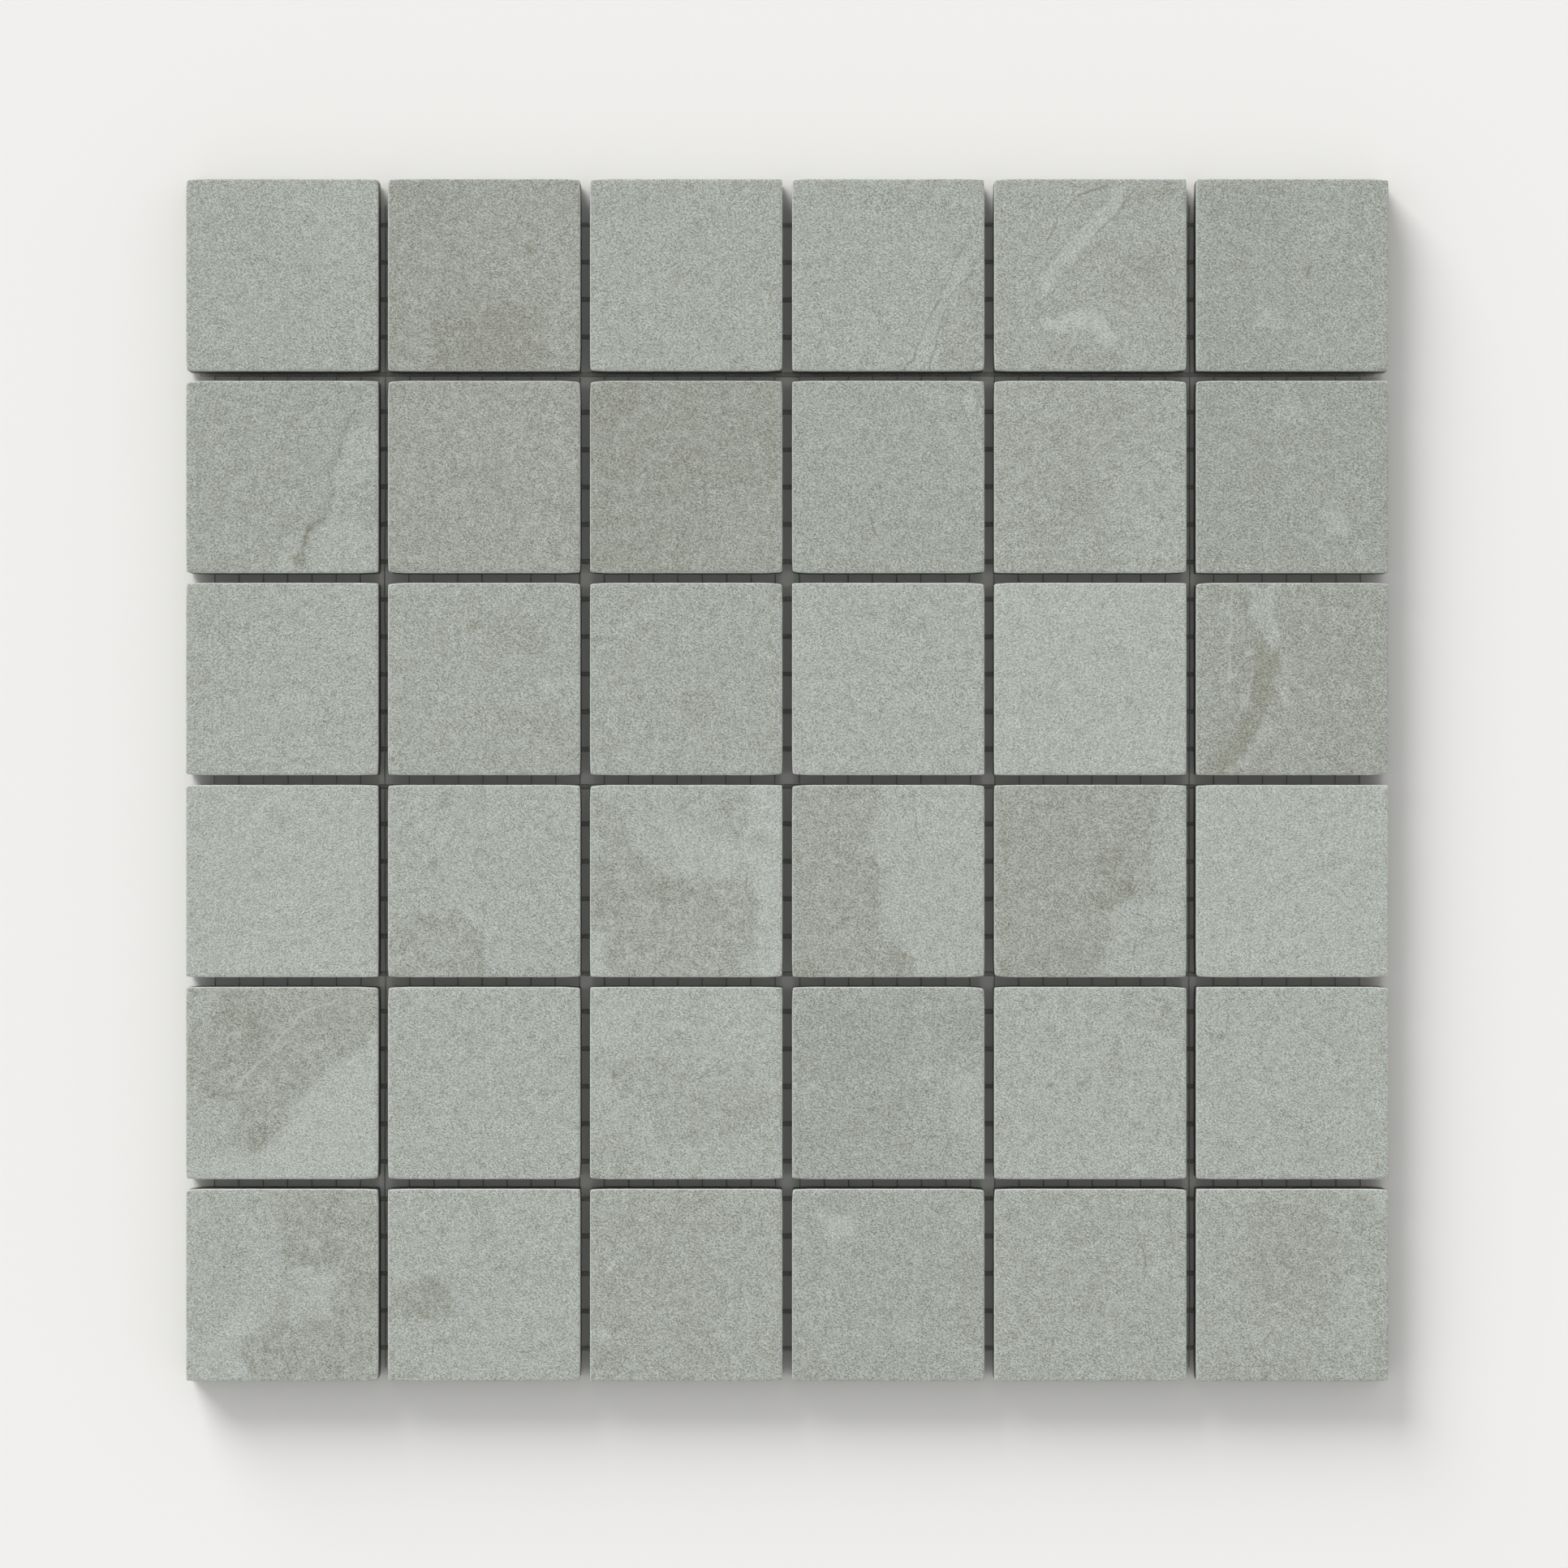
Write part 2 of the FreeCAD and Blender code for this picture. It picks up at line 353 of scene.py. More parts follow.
faces["r1_c4"] = ("light", [
    patch("warm", 0.22, 3, (19, -1), (24, 3), (24, -24), (11, -24), (13, -16), (16, -6)),
    patch("pale", 0.4, 1.5, (22, 6), (18, 4), (14, -4), (10, -12), (5, -24), (10, -24), (12, -17), (15, -7),
          (19, -1)),
    crack(0.12, (23, 21), (21, 14), (18, 5)),
    crack(0.19, (18, 4.7), (14, -3.8), (10, -12), (6, -21), (4, -24)),
    crack(0.16, (24, 6), (19.5, -0.8), (16.5, -3.8), (15, -7), (12, -17), (10.4, -23)),
    spots("warm", 0.43, 0.8, (-10, 18.5), (14.5, 17.5)),
    spots("pale", 0.5, 2, (-22, 5)),
])
faces["r1_c5"] = ("middle", [
    patch("warm", 0.25, 4, (11, 24), (24, 24), (24, 17), (11, 18)),
    patch("warm", 0.25, 5, (2, 4), (22, 8), (22, -8), (6, -6)),
    patch("warm", 0.18, 3, (-12, -17), (8, -17), (8, -23), (-12, -23)),
    patch("warm", 0.18, 2.5, (-4, 9), (4, 9), (4, 2), (-4, 2)),
    patch("pale", 0.65, 1.2, (10, 23), (8, 18), (1, 10), (-3, 5), (-8, 0), (-12, -5), (-12, 0), (-8, 6),
          (-2, 12), (6, 21)),
    patch("pale", 0.5, 1.2, (3, 22), (-2, 19), (-7, 14.5), (-11, 8), (-8, 15), (-3, 20.5)),
    patch("pale", 0.9, 1.5, (-12, -11), (-8, -9), (-2, -8), (3, -10), (6, -14), (7, -18), (4, -17.5),
          (1.5, -14.5), (-3, -13), (-8, -13.2), (-12, -13.8)),
    crack(0.26, (4, 22.5), (-2, 20), (-7, 15.5), (-11, 9)),
    crack(0.16, (11, 21), (6, 14.5), (0, 9.2)),
    crack(0.12, (14, -6), (16, -8), (20, -15)),
    spots("warm", 0.29, 1.4, (-7, 2)),
])
faces["r1_c6"] = ("grey", [
    patch("plum", 0.4, 8, (-24, 24), (0, 24), (0, -24), (-24, -24)),
    patch("pale", 0.35, 3, (-9, -8), (-2, -8), (-3, -14), (-9, -13)),
    patch("plum", 0.5, 4, (-24, -8), (-16, -8), (-16, -20), (-24, -20)),
    patch("plum", 0.4, 3, (-14, 18), (-4, 18), (-4, 12), (-14, 12)),
    crack(0.3, (4.2, 2), (3.8, -1)),
    crack(0.13, (-12, -22), (-8, -21), (-3, -20), (-1, -19.3)),
    vein(0.25, (13.3, 20.4), (12.8, 11.3)),
    spots("pale", 0.5, 1.6, (8.3, 9.3)),
])
print("marks in row 1:", marks_so_far())

# %% [markdown]
# ## The second row
# The first tile carries the deepest mark of the sheet: its right side has flaked away along a ragged
# brown crack. The third is the darkest tile.

# %% Marks of row 2
faces["r2_c1"] = ("grey", [
    patch("flaked", 0.9, 0.9, (20.5, 25), (20.2, 22.4), (18.7, 17.4), (16.2, 12.3), (15.2, 8.3),
          (12.6, 3.7), (11.6, 2.2), (12.1, -1.8), (11.6, -5.9), (10.6, -8.9), (7.6, -12.4), (6.1, -14.4),
          (5.6, -17), (4.5, -21), (5, -25), (26, -25), (26, 25)),
    patch("warm", 0.1, 3, (-24, 24), (18, 24), (12, 4), (10, -8), (4, -24), (-24, -24)),
    patch("pale", 0.4, 2, (17, 10), (24, 12), (24, 2), (18, -2), (13, -8), (12.5, 2)),
    patch("pale", 0.35, 3, (8, -14), (14, -10), (24, -14), (24, -24), (7, -24)),
    patch("warm", 0.25, 2, (0, -8), (8, -8), (7, -14), (1, -15)),
    patch("pale", 0.3, 1.5, (2, -13), (5, -15), (4, -24), (-2, -24)),
    patch("warm", 0.9, 0.8, (15.9, 9.4), (14.9, 8.2), (13.2, 5), (12.1, 2.8), (13.1, 3.4), (14.9, 6.4)),
    patch("warm", 0.8, 0.9, (11.9, -6.2), (11.2, -8.6), (8.4, -11.6), (6.8, -14.2), (5.6, -16.2),
          (6, -13.4), (7.6, -11), (9.8, -8.6)),
    patch("warm", 0.7, 0.9, (5.4, -17.4), (5.9, -19.6), (6, -22.4), (4.2, -22.6), (3.4, -21)),
    crack(0.14, (21, 23), (19.8, 20.5)),
    crack(0.12, (18.3, 16.2), (17.4, 14.2)),
    crack(0.14, (11.7, 1), (12, -1.4)),
    crack(0.3, (7.6, -12.6), (6.4, -14.6), (5.6, -17)),
    crack(0.12, (22, -5.5), (19.5, -6)),
])
faces["r2_c2"] = ("dark", [
    vein(0.3, (10, 16), (9, 10), (6, 4)),
    crack(0.18, (-10, -11), (-12, -16)),
    spots("warm", 0.65, 1, (-8, 3), (-18, 9)),
])
faces["r2_c3"] = ("darkest", [
    patch("warm", 0.36, 3, (-24, 24), (-10, 24), (-14, 17), (-18, 13), (-24, 12)),
    patch("plum", 0.4, 8, (4, -4), (24, -4), (24, -24), (4, -24)),
    vein(0.27, (-12, -4), (-10, 0)),
    vein(0.27, (-6, 3), (-4, 7)),
    vein(0.27, (-9, -13), (-5, -9)),
    crack(0.17, (5, -3), (5, -12)),
    spots("plum", 0.9, 2.2, (13, -10)),
    spots("warm", 0.58, 1, (10, 8)),
])
faces["r2_c4"] = ("grey", [
    crack(0.4, (-4.5, -10), (-2.5, -14)),
    crack(0.2, (-2, -2), (-2, -7)),
    crack(0.18, (15, 23), (19, 22), (23, 18)),
    spots("warm", 0.36, 0.9, (-1.5, -22)),
    spots("pale", 0.5, 2, (20, 18)),
])
faces["r2_c5"] = ("middle", [
    patch("warm", 0.12, 12, (-24, 24), (12, 24), (-6, -24), (-24, -24)),
    patch("pale", 0.2, 10, (4, 0), (24, 4), (24, -24), (10, -24)),
    patch("warm", 0.25, 4, (-8, -2), (0, -2), (0, -10), (-8, -10)),
    patch("warm", 0.25, 3, (2, -18), (8, -18), (8, -24), (2, -24)),
])
faces["r2_c6"] = ("slate", [
    patch("pale", 0.5, 2, (8.5, -9), (13, -9), (13, -15), (8.5, -15)),
    patch("pale", 0.4, 2, (-4, 18), (2, 18), (2, 14), (-4, 14)),
])
print("marks so far:", marks_so_far())

# %% [markdown]
# ## The third row
# Mostly quiet tiles. The last one has a dark crescent with a paler strip outside it.

# %% Marks of row 3
faces["r3_c1"] = ("bright", [
    patch("warm", 0.18, 14, (-24, 24), (4, 24), (-24, -4)),
])
faces["r3_c2"] = ("middle", [
    patch("warm", 0.25, 4, (2, 16), (16, 14), (16, 6), (2, 8)),
    patch("warm", 0.14, 9, (0, -6), (24, -8), (24, -24), (0, -24)),
    band("pale", 0.4, 2.5, (14, -1), (24, -1)),
    spots("warm", 0.43, 1.6, (-11, 12), (-3, 13)),
])
faces["r3_c3"] = ("middle", [
    patch("warm", 0.22, 3, (0, -2), (8, -2), (8, -10), (0, -10)),
    crack(0.17, (3, -15), (5, -11)),
    spots("warm", 0.43, 1.4, (-10, 13), (-16, 0), (-22, 10), (-20, -19)),
])
faces["r3_c4"] = ("bright", [
    patch("warm", 0.22, 4, (1, 18), (8, 18), (8, 12), (1, 12)),
])
faces["r3_c5"] = ("pale", [
    band("warm", 0.14, 3, (-16, -3), (8, -6)),
    spots("pale", 0.6, 2, (-19, -11)),
])
faces["r3_c6"] = ("dark", [
    patch("plum", 0.25, 5, (-24, 20), (-12, 20), (-9, 8), (-8, -8), (-14, -18), (-24, -18)),
    patch("pale", 0.45, 1.5, (-11, 23.5), (-4.5, 23.5), (-4, 18), (-3.2, 12), (-3.2, 8.5), (-5.3, 9.5),
          (-8, 13.5), (-10, 18)),
    patch("pale", 0.25, 2, (-3, 6.5), (0, 5), (0, -6), (-3, -6)),
    patch("pale", 0.3, 1.5, (-5.5, -9.5), (-4, -12), (-9, -18), (-14, -22.5), (-15, -21), (-10, -16)),
    patch("warm", 0.45, 2, (-15, 8), (-9, 10), (-6, 4), (-6, -6), (-11, -16), (-17, -24), (-22, -24),
          (-18, -14), (-15, -6)),
    patch("warm", 0.6, 1.5, (-12.5, 22), (-11.3, 19.9), (-9.6, 15.1), (-7.5, 11.3), (-5.5, 8.2),
          (-3.4, 6.8), (-3.8, 4.8), (-3.6, 1.4), (-3.8, -2.7), (-4.8, -6.2), (-6.8, -10.3), (-9.6, -15.1),
          (-12.3, -18.5), (-17, -23.3), (-19.5, -23.5), (-17.8, -19), (-15, -15), (-13, -11),
          (-9.9, -7.5), (-8.9, -4), (-9.6, 0.7), (-9, 5.5), (-8.2, 9), (-10, 13), (-12.3, 17), (-13.5, 20)),
    spots("warm", 1, 0.8, (-3.8, 6.6)),
    vein(0.35, (-15.4, 20.5), (-15.8, 10), (-15.4, 4), (-15.6, -1)),
    vein(0.35, (-11, 6.5), (-13, 3.4), (-14.4, 0.5)),
    vein(0.3, (-10, 2), (-11, -4), (-14, -10)),
    vein(0.25, (-7.2, 12.2), (-5.2, 9.4)),
    spots("pale", 0.6, 1, (-10.5, 7)),
])
print("marks so far:", marks_so_far())

# %% [markdown]
# ## The fourth row
# Three tiles here have large brown clouds with clear edges. The two at the ends are pale, with faint
# streaks that rise to the right.

# %% Marks of row 4
faces["r4_c1"] = ("pale", [
    spots("warm", 0.5, 1, (0, 15)),
    spots("warm", 0.5, 0.7, (-18.5, -5), (-20.5, -14.5), (20, -1)),
    crack(0.13, (8.5, -11), (13, -8)),
    crack(0.12, (16, -12), (22, -8)),
    crack(0.13, (17, -22), (23, -19)),
    patch("warm", 0.14, 4, (-24, 15), (-15, 14), (-16, 10), (-24, 11)),
])
faces["r4_c2"] = ("bright", [
    patch("warm", 0.32, 3, (-24, -10), (-10, -6), (-5, -9), (-1.5, -14), (1.5, -24), (-24, -24)),
    band("warm", 0.25, 2.2, (-7, -8), (-2.5, -13), (-1, -19), (-1, -24)),
    band("pale", 0.55, 1.8, (-5, -6.5), (0.5, -12), (1.5, -18)),
    spots("pale", 0.9, 1.2, (-10.5, 11.5), (-9.7, 10.4)),
    spots("warm", 0.36, 2, (-13, 4), (-10, 20), (-2, 22)),
    spots("warm", 0.5, 1.2, (11, -22)),
])
faces["r4_c3"] = ("bright", [
    patch("warm", 0.34, 3, (-24, 18), (-18, 20), (-15, 14), (-13, 8), (-8, 3), (0, 1), (14, -1), (17, -3),
          (17, -10), (15, -20), (12, -24), (-20, -24), (-20, -13), (-24, -12), (-24, 8), (-20, 9)),
    patch("warm", 0.3, 2.5, (7, 20), (15, 21), (15.5, 14), (12, 10), (8, 12)),
    patch("warm", 0.36, 3, (-9, 1), (0, 1), (0, -6), (-9, -6)),
    patch("warm", 0.29, 4, (-24, -1), (-14, -1), (-14, -8), (-24, -8)),
    patch("pale", 0.6, 1.5, (16, 24), (24, 24), (24, -24), (17.5, -24), (18, -10), (17, 0), (13, 9),
          (16, 13)),
    patch("pale", 0.7, 2, (-24, -13), (-20.5, -14), (-19.5, -22), (-21, -24), (-24, -24)),
    patch("pale", 0.5, 4, (-2, 12), (14, 8), (14, 1), (0, 2)),
    band("pale", 0.45, 2.5, (-6, 16), (-2.5, 10), (-1, 3)),
    crack(0.18, (14.8, 1), (15, -1), (16, -5)),
    spots("warm", 0.36, 1.6, (18, 10), (20, 9)),
    spots("warm", 0.43, 1.3, (-1, 18), (3, 5.5)),
])
faces["r4_c4"] = ("light", [
    patch("warm", 0.31, 1.6, (-24, 24), (-2, 24), (-2, 16), (-6, 13), (-5.5, 6), (-3.5, 3), (-2, -6),
          (-1, -14), (5, -17), (7, -24), (-24, -24)),
    patch("pale", 0.35, 3, (-1, 24), (24, 24), (24, -24), (8, -24), (5, -16), (0, -13), (-1, -5), (-4, 8)),
    band("warm", 0.43, 2, (-4.5, 5), (-3.5, -1), (-3, -6)),
    crack(0.14, (-15.5, 14.5), (-15.5, 12.5)),
    crack(0.14, (6.3, 21), (6.5, 17)),
    crack(0.19, (7.3, 14), (7.5, 10)),
    spots("warm", 0.58, 0.9, (-12, 22.5), (3.5, 19), (-8.5, 2), (-14, -7.5), (-11, -10)),
    patch("warm", 0.29, 4, (-24, -18), (-16, -20), (-16, -24), (-24, -24)),
    patch("warm", 0.29, 3, (1, -18), (5, -18), (6, -24), (1, -24)),
])
faces["r4_c5"] = ("light", [
    patch("warm", 0.36, 3, (-24, 24), (17, 24), (17.5, 18), (16, 14), (15.5, 4), (17, -3), (8, -4),
          (6, -7), (5.5, -10), (6, -13), (4.5, -17), (2, -24), (-24, -24)),
    patch("warm", 0.61, 1.6, (1, 6), (8, 9), (7.5, 3), (11, 0), (10, -3), (3, -6), (-1, -4), (3, -1)),
    patch("warm", 0.29, 3, (-15, -17), (2, -17), (1, -24), (-15, -24)),
    patch("warm", 0.29, 3, (-24, -20), (-14, -22), (-14, -24), (-24, -24)),
    spots("warm", 0.43, 2.2, (-21, 11)),
    crack(0.17, (15.5, 15), (18, 16.5)),
    patch("pale", 0.25, 3, (18, 14), (24, 16), (24, -24), (3, -24), (7, -14), (7, -6), (17, -4)),
    vein(0.3, (9, -4.5), (6.3, -7), (5.8, -11), (7, -14.5)),
    vein(0.3, (5.6, -6), (5, -12), (3.5, -22)),
    vein(0.3, (6.5, 0.3), (7.6, 2.2)),
    crack(0.16, (10, -7.5), (12, -8), (14.5, -10)),
    crack(0.16, (12, -14.5), (11, -18)),
    vein(0.27, (17, -17), (12, -19), (8, -23)),
])
faces["r4_c6"] = ("pale", [
    patch("warm", 0.22, 2.5, (1, 19), (3, 22), (6, 21), (5, 17)),
    patch("warm", 0.14, 2.5, (-8, 12), (-2, 15), (-2, 12)),
    band("warm", 0.2, 2, (-12, -6), (0, 1), (12, 5)),
    band("warm", 0.18, 2, (-18, 2), (-6, 8)),
    band("warm", 0.22, 1.5, (9.5, 7), (10.5, 3)),
    crack(0.14, (-14.5, -10), (-12, -11.5), (-9, -11)),
    crack(0.13, (0.5, -19), (6, -15)),
    vein(0.2, (-15, -14), (-9, -12.5), (-4, -11.5)),
    spots("warm", 0.58, 0.7, (-15, -4.5)),
    spots("warm", 0.22, 1.5, (16, -5)),
])
print("marks so far:", marks_so_far())

# %% [markdown]
# ## The fifth row
# The first tile is the boldest: a brown cloud over two thirds of it, crossed by a chalky vein. The
# others are quieter, with soft clouds and small dark spots.

# %% Marks of row 5
faces["r5_c1"] = ("bright", [
    patch("warm", 0.38, 1, (-24, 24), (24, 24), (24, 16), (20, 9), (14, 5), (10, 1), (3, -4), (2, -8),
          (-1, -14), (-6, -17), (-13, -16), (-11, -8), (-12, -4), (-17, -5), (-21, -2), (-24, 0)),
    patch("warm", 0.3, 4, (-17, 23), (-6, 24), (-4, 10), (-8, 5), (-16, 8)),
    patch("pale", 0.6, 1.5, (24, 15), (20, 8), (10, 0), (3, -5), (0, -14), (-6, -18), (-24, -19),
          (-24, -24), (24, -24)),
    patch("pale", 0.3, 3, (-24, 23), (-12, 23), (-18, 17), (-24, 15)),
    vein(0.42, (13.6, 20.9), (8, 19), (4, 16.4), (2, 13.8), (-1.2, 10.8), (-2.5, 8.3), (-5.6, 5.8),
         (-9.1, 2.2), (-11.6, -1.3)),
    crack(0.19, (-20, -3.5), (-15, -3), (-11.5, -2)),
    crack(0.19, (19.5, 13.2), (20.8, 11.5), (21, 10)),
    vein(0.45, (-24, 2.2), (-21.5, 2), (-20, 1)),
    vein(0.4, (-13, 10), (-13.3, 12), (-12, 13), (-10.5, 12.4)),
    spots("warm", 0.43, 2.6, (-6, -13)),
    spots("warm", 0.43, 0.7, (12, -2.5), (-3.5, -15)),
])
faces["r5_c2"] = ("bright", [
    spots("warm", 0.43, 1.1, (-4, 12), (12, 12), (-17.5, -5), (11, 19)),
])
faces["r5_c3"] = ("bright", [
    patch("warm", 0.22, 5, (-22, 6), (-6, 8), (6, 2), (22, -2), (22, -14), (6, -16), (-14, -6)),
    patch("warm", 0.25, 4, (-24, -12), (-12, -14), (-12, -24), (-24, -24)),
    patch("pale", 0.35, 5, (-24, 20), (-12, 22), (-10, 12), (-24, 8)),
    patch("pale", 0.3, 5, (6, 22), (22, 18), (22, 6), (8, 8)),
    band("pale", 0.8, 1.8, (-6, 15), (-1, 14.2)),
    crack(0.17, (19.5, 16.3), (22, 14.3)),
    crack(0.18, (-18.5, 3), (-18.5, 1)),
    crack(0.17, (-20, -16), (-20.8, -19)),
    spots("warm", 0.5, 1.1, (-12, 14)),
    spots("warm", 0.29, 2, (2, -14), (9, -5)),
])
faces["r5_c4"] = ("grey", [
    patch("plum", 0.5, 5, (-24, 18), (-14, 20), (-4, 16), (6, 20), (8, 8), (-4, 2), (-24, 0)),
    patch("plum", 0.45, 3, (15, 18), (24, 18), (24, 8), (14, 5)),
    patch("plum", 0.35, 5, (-24, -8), (0, -2), (8, -6), (4, -20), (-24, -24)),
    patch("pale", 0.4, 4, (15, 3), (24, 4), (24, -14), (16, -12)),
    crack(0.17, (1.5, -15.5), (5, -14.8), (8, -13.6), (12, -13)),
    spots("warm", 0.43, 1.4, (-12, 17), (-19, 14), (-14, 12), (-1, -4)),
])
faces["r5_c5"] = ("bright", [
    patch("warm", 0.25, 2.5, (4, 9), (8, 11), (6.5, 2), (3.5, 3)),
    patch("warm", 0.18, 4, (9, 24), (24, 24), (24, 8), (16, 9), (9, 18)),
    spots("warm", 0.5, 1.1, (18.5, 18.8), (12.3, 2.6)),
    spots("warm", 0.58, 0.7, (-10, -0.7), (-19.5, 17)),
    spots("pale", 0.6, 1.3, (20.3, 10.5), (17.5, 11)),
    vein(0.3, (21.5, -2), (21.3, -6), (20.3, -9)),
    vein(0.24, (-11, 21), (-13, 16)),
])
faces["r5_c6"] = ("bright", [
    vein(0.3, (-6, 7), (-3, 6.4), (-1, 5)),
    spots("warm", 0.43, 1, (-20, 12.3), (-18, 11.7), (-20, -20)),
])
print("marks so far:", marks_so_far())

# %% [markdown]
# ## The bottom row
# The first tile is brown over its right half, with a rusty blot and a chalky wedge. The second has one
# dark cloud at its left. The rest are evenly mottled.

# %% Marks of row 6
faces["r6_c1"] = ("bright", [
    patch("warm", 0.42, 2, (-2, 24), (24, 24), (24, -24), (-8, -24), (-9.5, -19), (-9, -13), (-4, -9),
          (0, -2), (0, 8), (-1, 17)),
    patch("pale", 0.45, 3, (0, 4), (14, 4), (13, -8), (2, -9)),
    patch("warm", 0.2, 2, (0, 9), (8, 8), (8, 5), (0, 5)),
    patch("warm", 0.45, 1.2, (10.5, 9.5), (14.8, 8), (14.3, 6), (12, 6.5), (9, 6)),
    patch("pale", 0.6, 2, (-9, -4), (-5, -8), (-8, -13), (-16, -12), (-14, -9)),
    patch("pale", 0.35, 3, (-24, -12), (-14, -13), (-10, -18), (-10, -24), (-24, -24)),
    patch("plum", 0.25, 4, (-15, 13), (-8, 13), (-8, -2), (-15, -2)),
    vein(0.3, (1.8, 2.8), (3.5, 4), (7, 3.6)),
    vein(0.3, (14.6, 6.4), (13.4, 4.4), (14.5, 1)),
    spots("warm", 0.43, 1.3, (-7.5, 20)),
    spots("warm", 0.72, 0.7, (21.8, 11.5)),
    spots("pale", 0.4, 1.1, (7.5, 10.5)),
])
faces["r6_c2"] = ("bright", [
    patch("warm", 0.5, 3, (-24, -1), (-20, 0), (-15, 2), (-9, 1), (-7, -8), (-16, -9), (-24, -7)),
    patch("warm", 0.29, 2, (-17, 1), (-11, 1), (-10, -3), (-15, -4)),
    patch("warm", 0.29, 2, (-20, -21), (-14, -23), (-14, -24), (-22, -24)),
    vein(0.3, (-10, 24), (-9, 19)),
    crack(0.16, (9.5, -16.5), (14.5, -19)),
    spots("warm", 0.4, 1.5, (-10.5, 13.8), (0, 13)),
    spots("warm", 0.43, 0.9, (-16, 13.5), (14, 15), (16, 18), (19.5, -5), (3, 4)),
])
faces["r6_c3"] = ("middle", [
    patch("warm", 0.14, 10, (-24, 24), (8, 24), (8, -24), (-24, -24)),
    spots("pale", 0.7, 1.1, (-19, 5), (-20.5, -12.5), (-16, -12), (20, -1)),
    spots("pale", 0.6, 0.8, (12, -18)),
    patch("warm", 0.22, 4, (-23, -15), (-17, -15), (-17, -21), (-23, -21)),
    vein(0.24, (14, 18), (15, 13)),
])
faces["r6_c4"] = ("grey", [
    patch("pale", 0.55, 3, (-16, 19), (-9, 17), (-9, 11), (-16, 12)),
    patch("pale", 0.3, 3, (2, -9), (8, -9), (8, -14), (2, -14)),
    patch("plum", 0.4, 2, (-16, 23), (-9, 23), (-10, 18), (-15, 19)),
    patch("warm", 0.22, 4, (16, 8), (24, 8), (24, -12), (16, -10)),
    patch("warm", 0.36, 4, (-24, -14), (-14, -20), (-14, -24), (-24, -24)),
])
faces["r6_c5"] = ("middle", [
    patch("plum", 0.35, 3, (0, 18), (4, 16), (3, 9), (-1, 10)),
    crack(0.16, (12, 12), (13, 8), (14, 4)),
    crack(0.16, (19.5, 17.5), (20.5, 13), (21, 8)),
    patch("pale", 0.4, 2.5, (15, 8), (19, 7), (19, 1), (15, 2)),
    vein(0.27, (0, 4), (4, 2.4), (8, -1)),
    spots("warm", 0.43, 1.4, (3, -6), (-5.5, 12)),
    crack(0.14, (0.5, 2), (-0.5, -2)),
])
faces["r6_c6"] = ("middle", [
    patch("warm", 0.25, 7, (-8, 22), (8, 22), (13, 4), (8, -10), (-8, -8), (-12, 6)),
    patch("pale", 0.3, 5, (12, 2), (20, 2), (20, -16), (13, -16)),
    patch("pale", 0.5, 2, (19, 24), (24, 24), (24, 18), (21, 19)),
    band("pale", 0.6, 1.6, (-18, 23), (-13, 18)),
    vein(0.27, (-15, 23), (-10, 21)),
    patch("warm", 0.22, 4, (-18, -16), (4, -18), (6, -24), (-20, -24)),
])
print("marks in all:", marks_so_far())

# %% [markdown]
# ## From marks to tints
# The marks are laid over each other in order, like washes of slip: a new one partly covers what lies under
# it. The listed outlines look too clean, so the places are first pushed about by noise, and the edges come
# out ragged. Cracks and veins get thinner and thicker along the way, and fade out at their ends.

# %% Lay the washes
tints = ("warm", "pale", "plum")
broad_feature = 3.4
patch_push = {"fine_push": 0.7, "fine_feature": 1.3, "broad_push": 0.9}
line_push = {"fine_push": 0.35, "fine_feature": 1.6, "broad_push": 0.5}
line_end_fade = 1.2
far_off = 4.0


def seed_of(name, layer):
    """A seed of its own for each layer of each tile."""
    row, column = int(name[1]), int(name[4])
    return 1000 * row + 100 * column + layer


def pushed(name, x, y, fine_push, fine_feature, broad_push):
    """Places pushed about by noise, so that what is drawn there comes out ragged."""
    moved = []
    for place, layer in ((x, 1), (y, 3)):
        fine = soft_noise(x, y, fine_feature, seed_of(name, layer))
        broad = soft_noise(x, y, broad_feature, seed_of(name, layer + 1))
        moved.append(place + fine_push * fine + broad_push * broad)
    return moved


def wash(name, x, y):
    """How strongly each tint and flake shows at each place of a tile's face."""
    tone, marks = faces[name]
    pushed_x, pushed_y = pushed(name, x, y, **patch_push)
    layers = {tint: np.full(x.shape, tones[tone].get(tint, 0.0)) for tint in tints}
    layers["flaked"] = np.zeros(x.shape)
    for tint, amount, cover in marks:
        if tint in tints:
            share = amount * cover(pushed_x, pushed_y)
            for under in tints:
                layers[under] *= 1 - share
            layers[tint] += share
        elif tint == "flaked":
            layers["flaked"] = np.maximum(layers["flaked"], amount * cover(pushed_x, pushed_y))
    return layers


def hairlines(name, x, y):
    """The side of the nearest crack or vein in mm, and how far each kind reaches there."""
    pushed_x, pushed_y = pushed(name, x, y, **line_push)
    thinner = 0.75 + 0.5 * soft_noise(x, y, 2.6, seed_of(name, 9))
    lines = {"line_side": np.full(x.shape, far_off), "crack": np.zeros(x.shape), "vein": np.zeros(x.shape)}
    for kind, reach, points in faces[name][1]:
        if kind in ("crack", "vein"):
            side, past = side_of_line(pushed_x, pushed_y, points)
            closer = np.abs(side) < np.abs(lines["line_side"])
            strength = reach * thinner * ease(1 - past / line_end_fade)
            here = {"line_side": side, "crack": 0.0, "vein": 0.0, kind: strength}
            for layer in lines:
                lines[layer] = np.where(closer, here[layer], lines[layer])
    return lines


trial_places = np.meshgrid(np.linspace(-24, 24, 97), np.linspace(-24, 24, 97))
trial_wash = wash("r2_c1", *trial_places)
print("flaked share of the tile that starts row 2:", round(float(trial_wash["flaked"].mean()), 3))

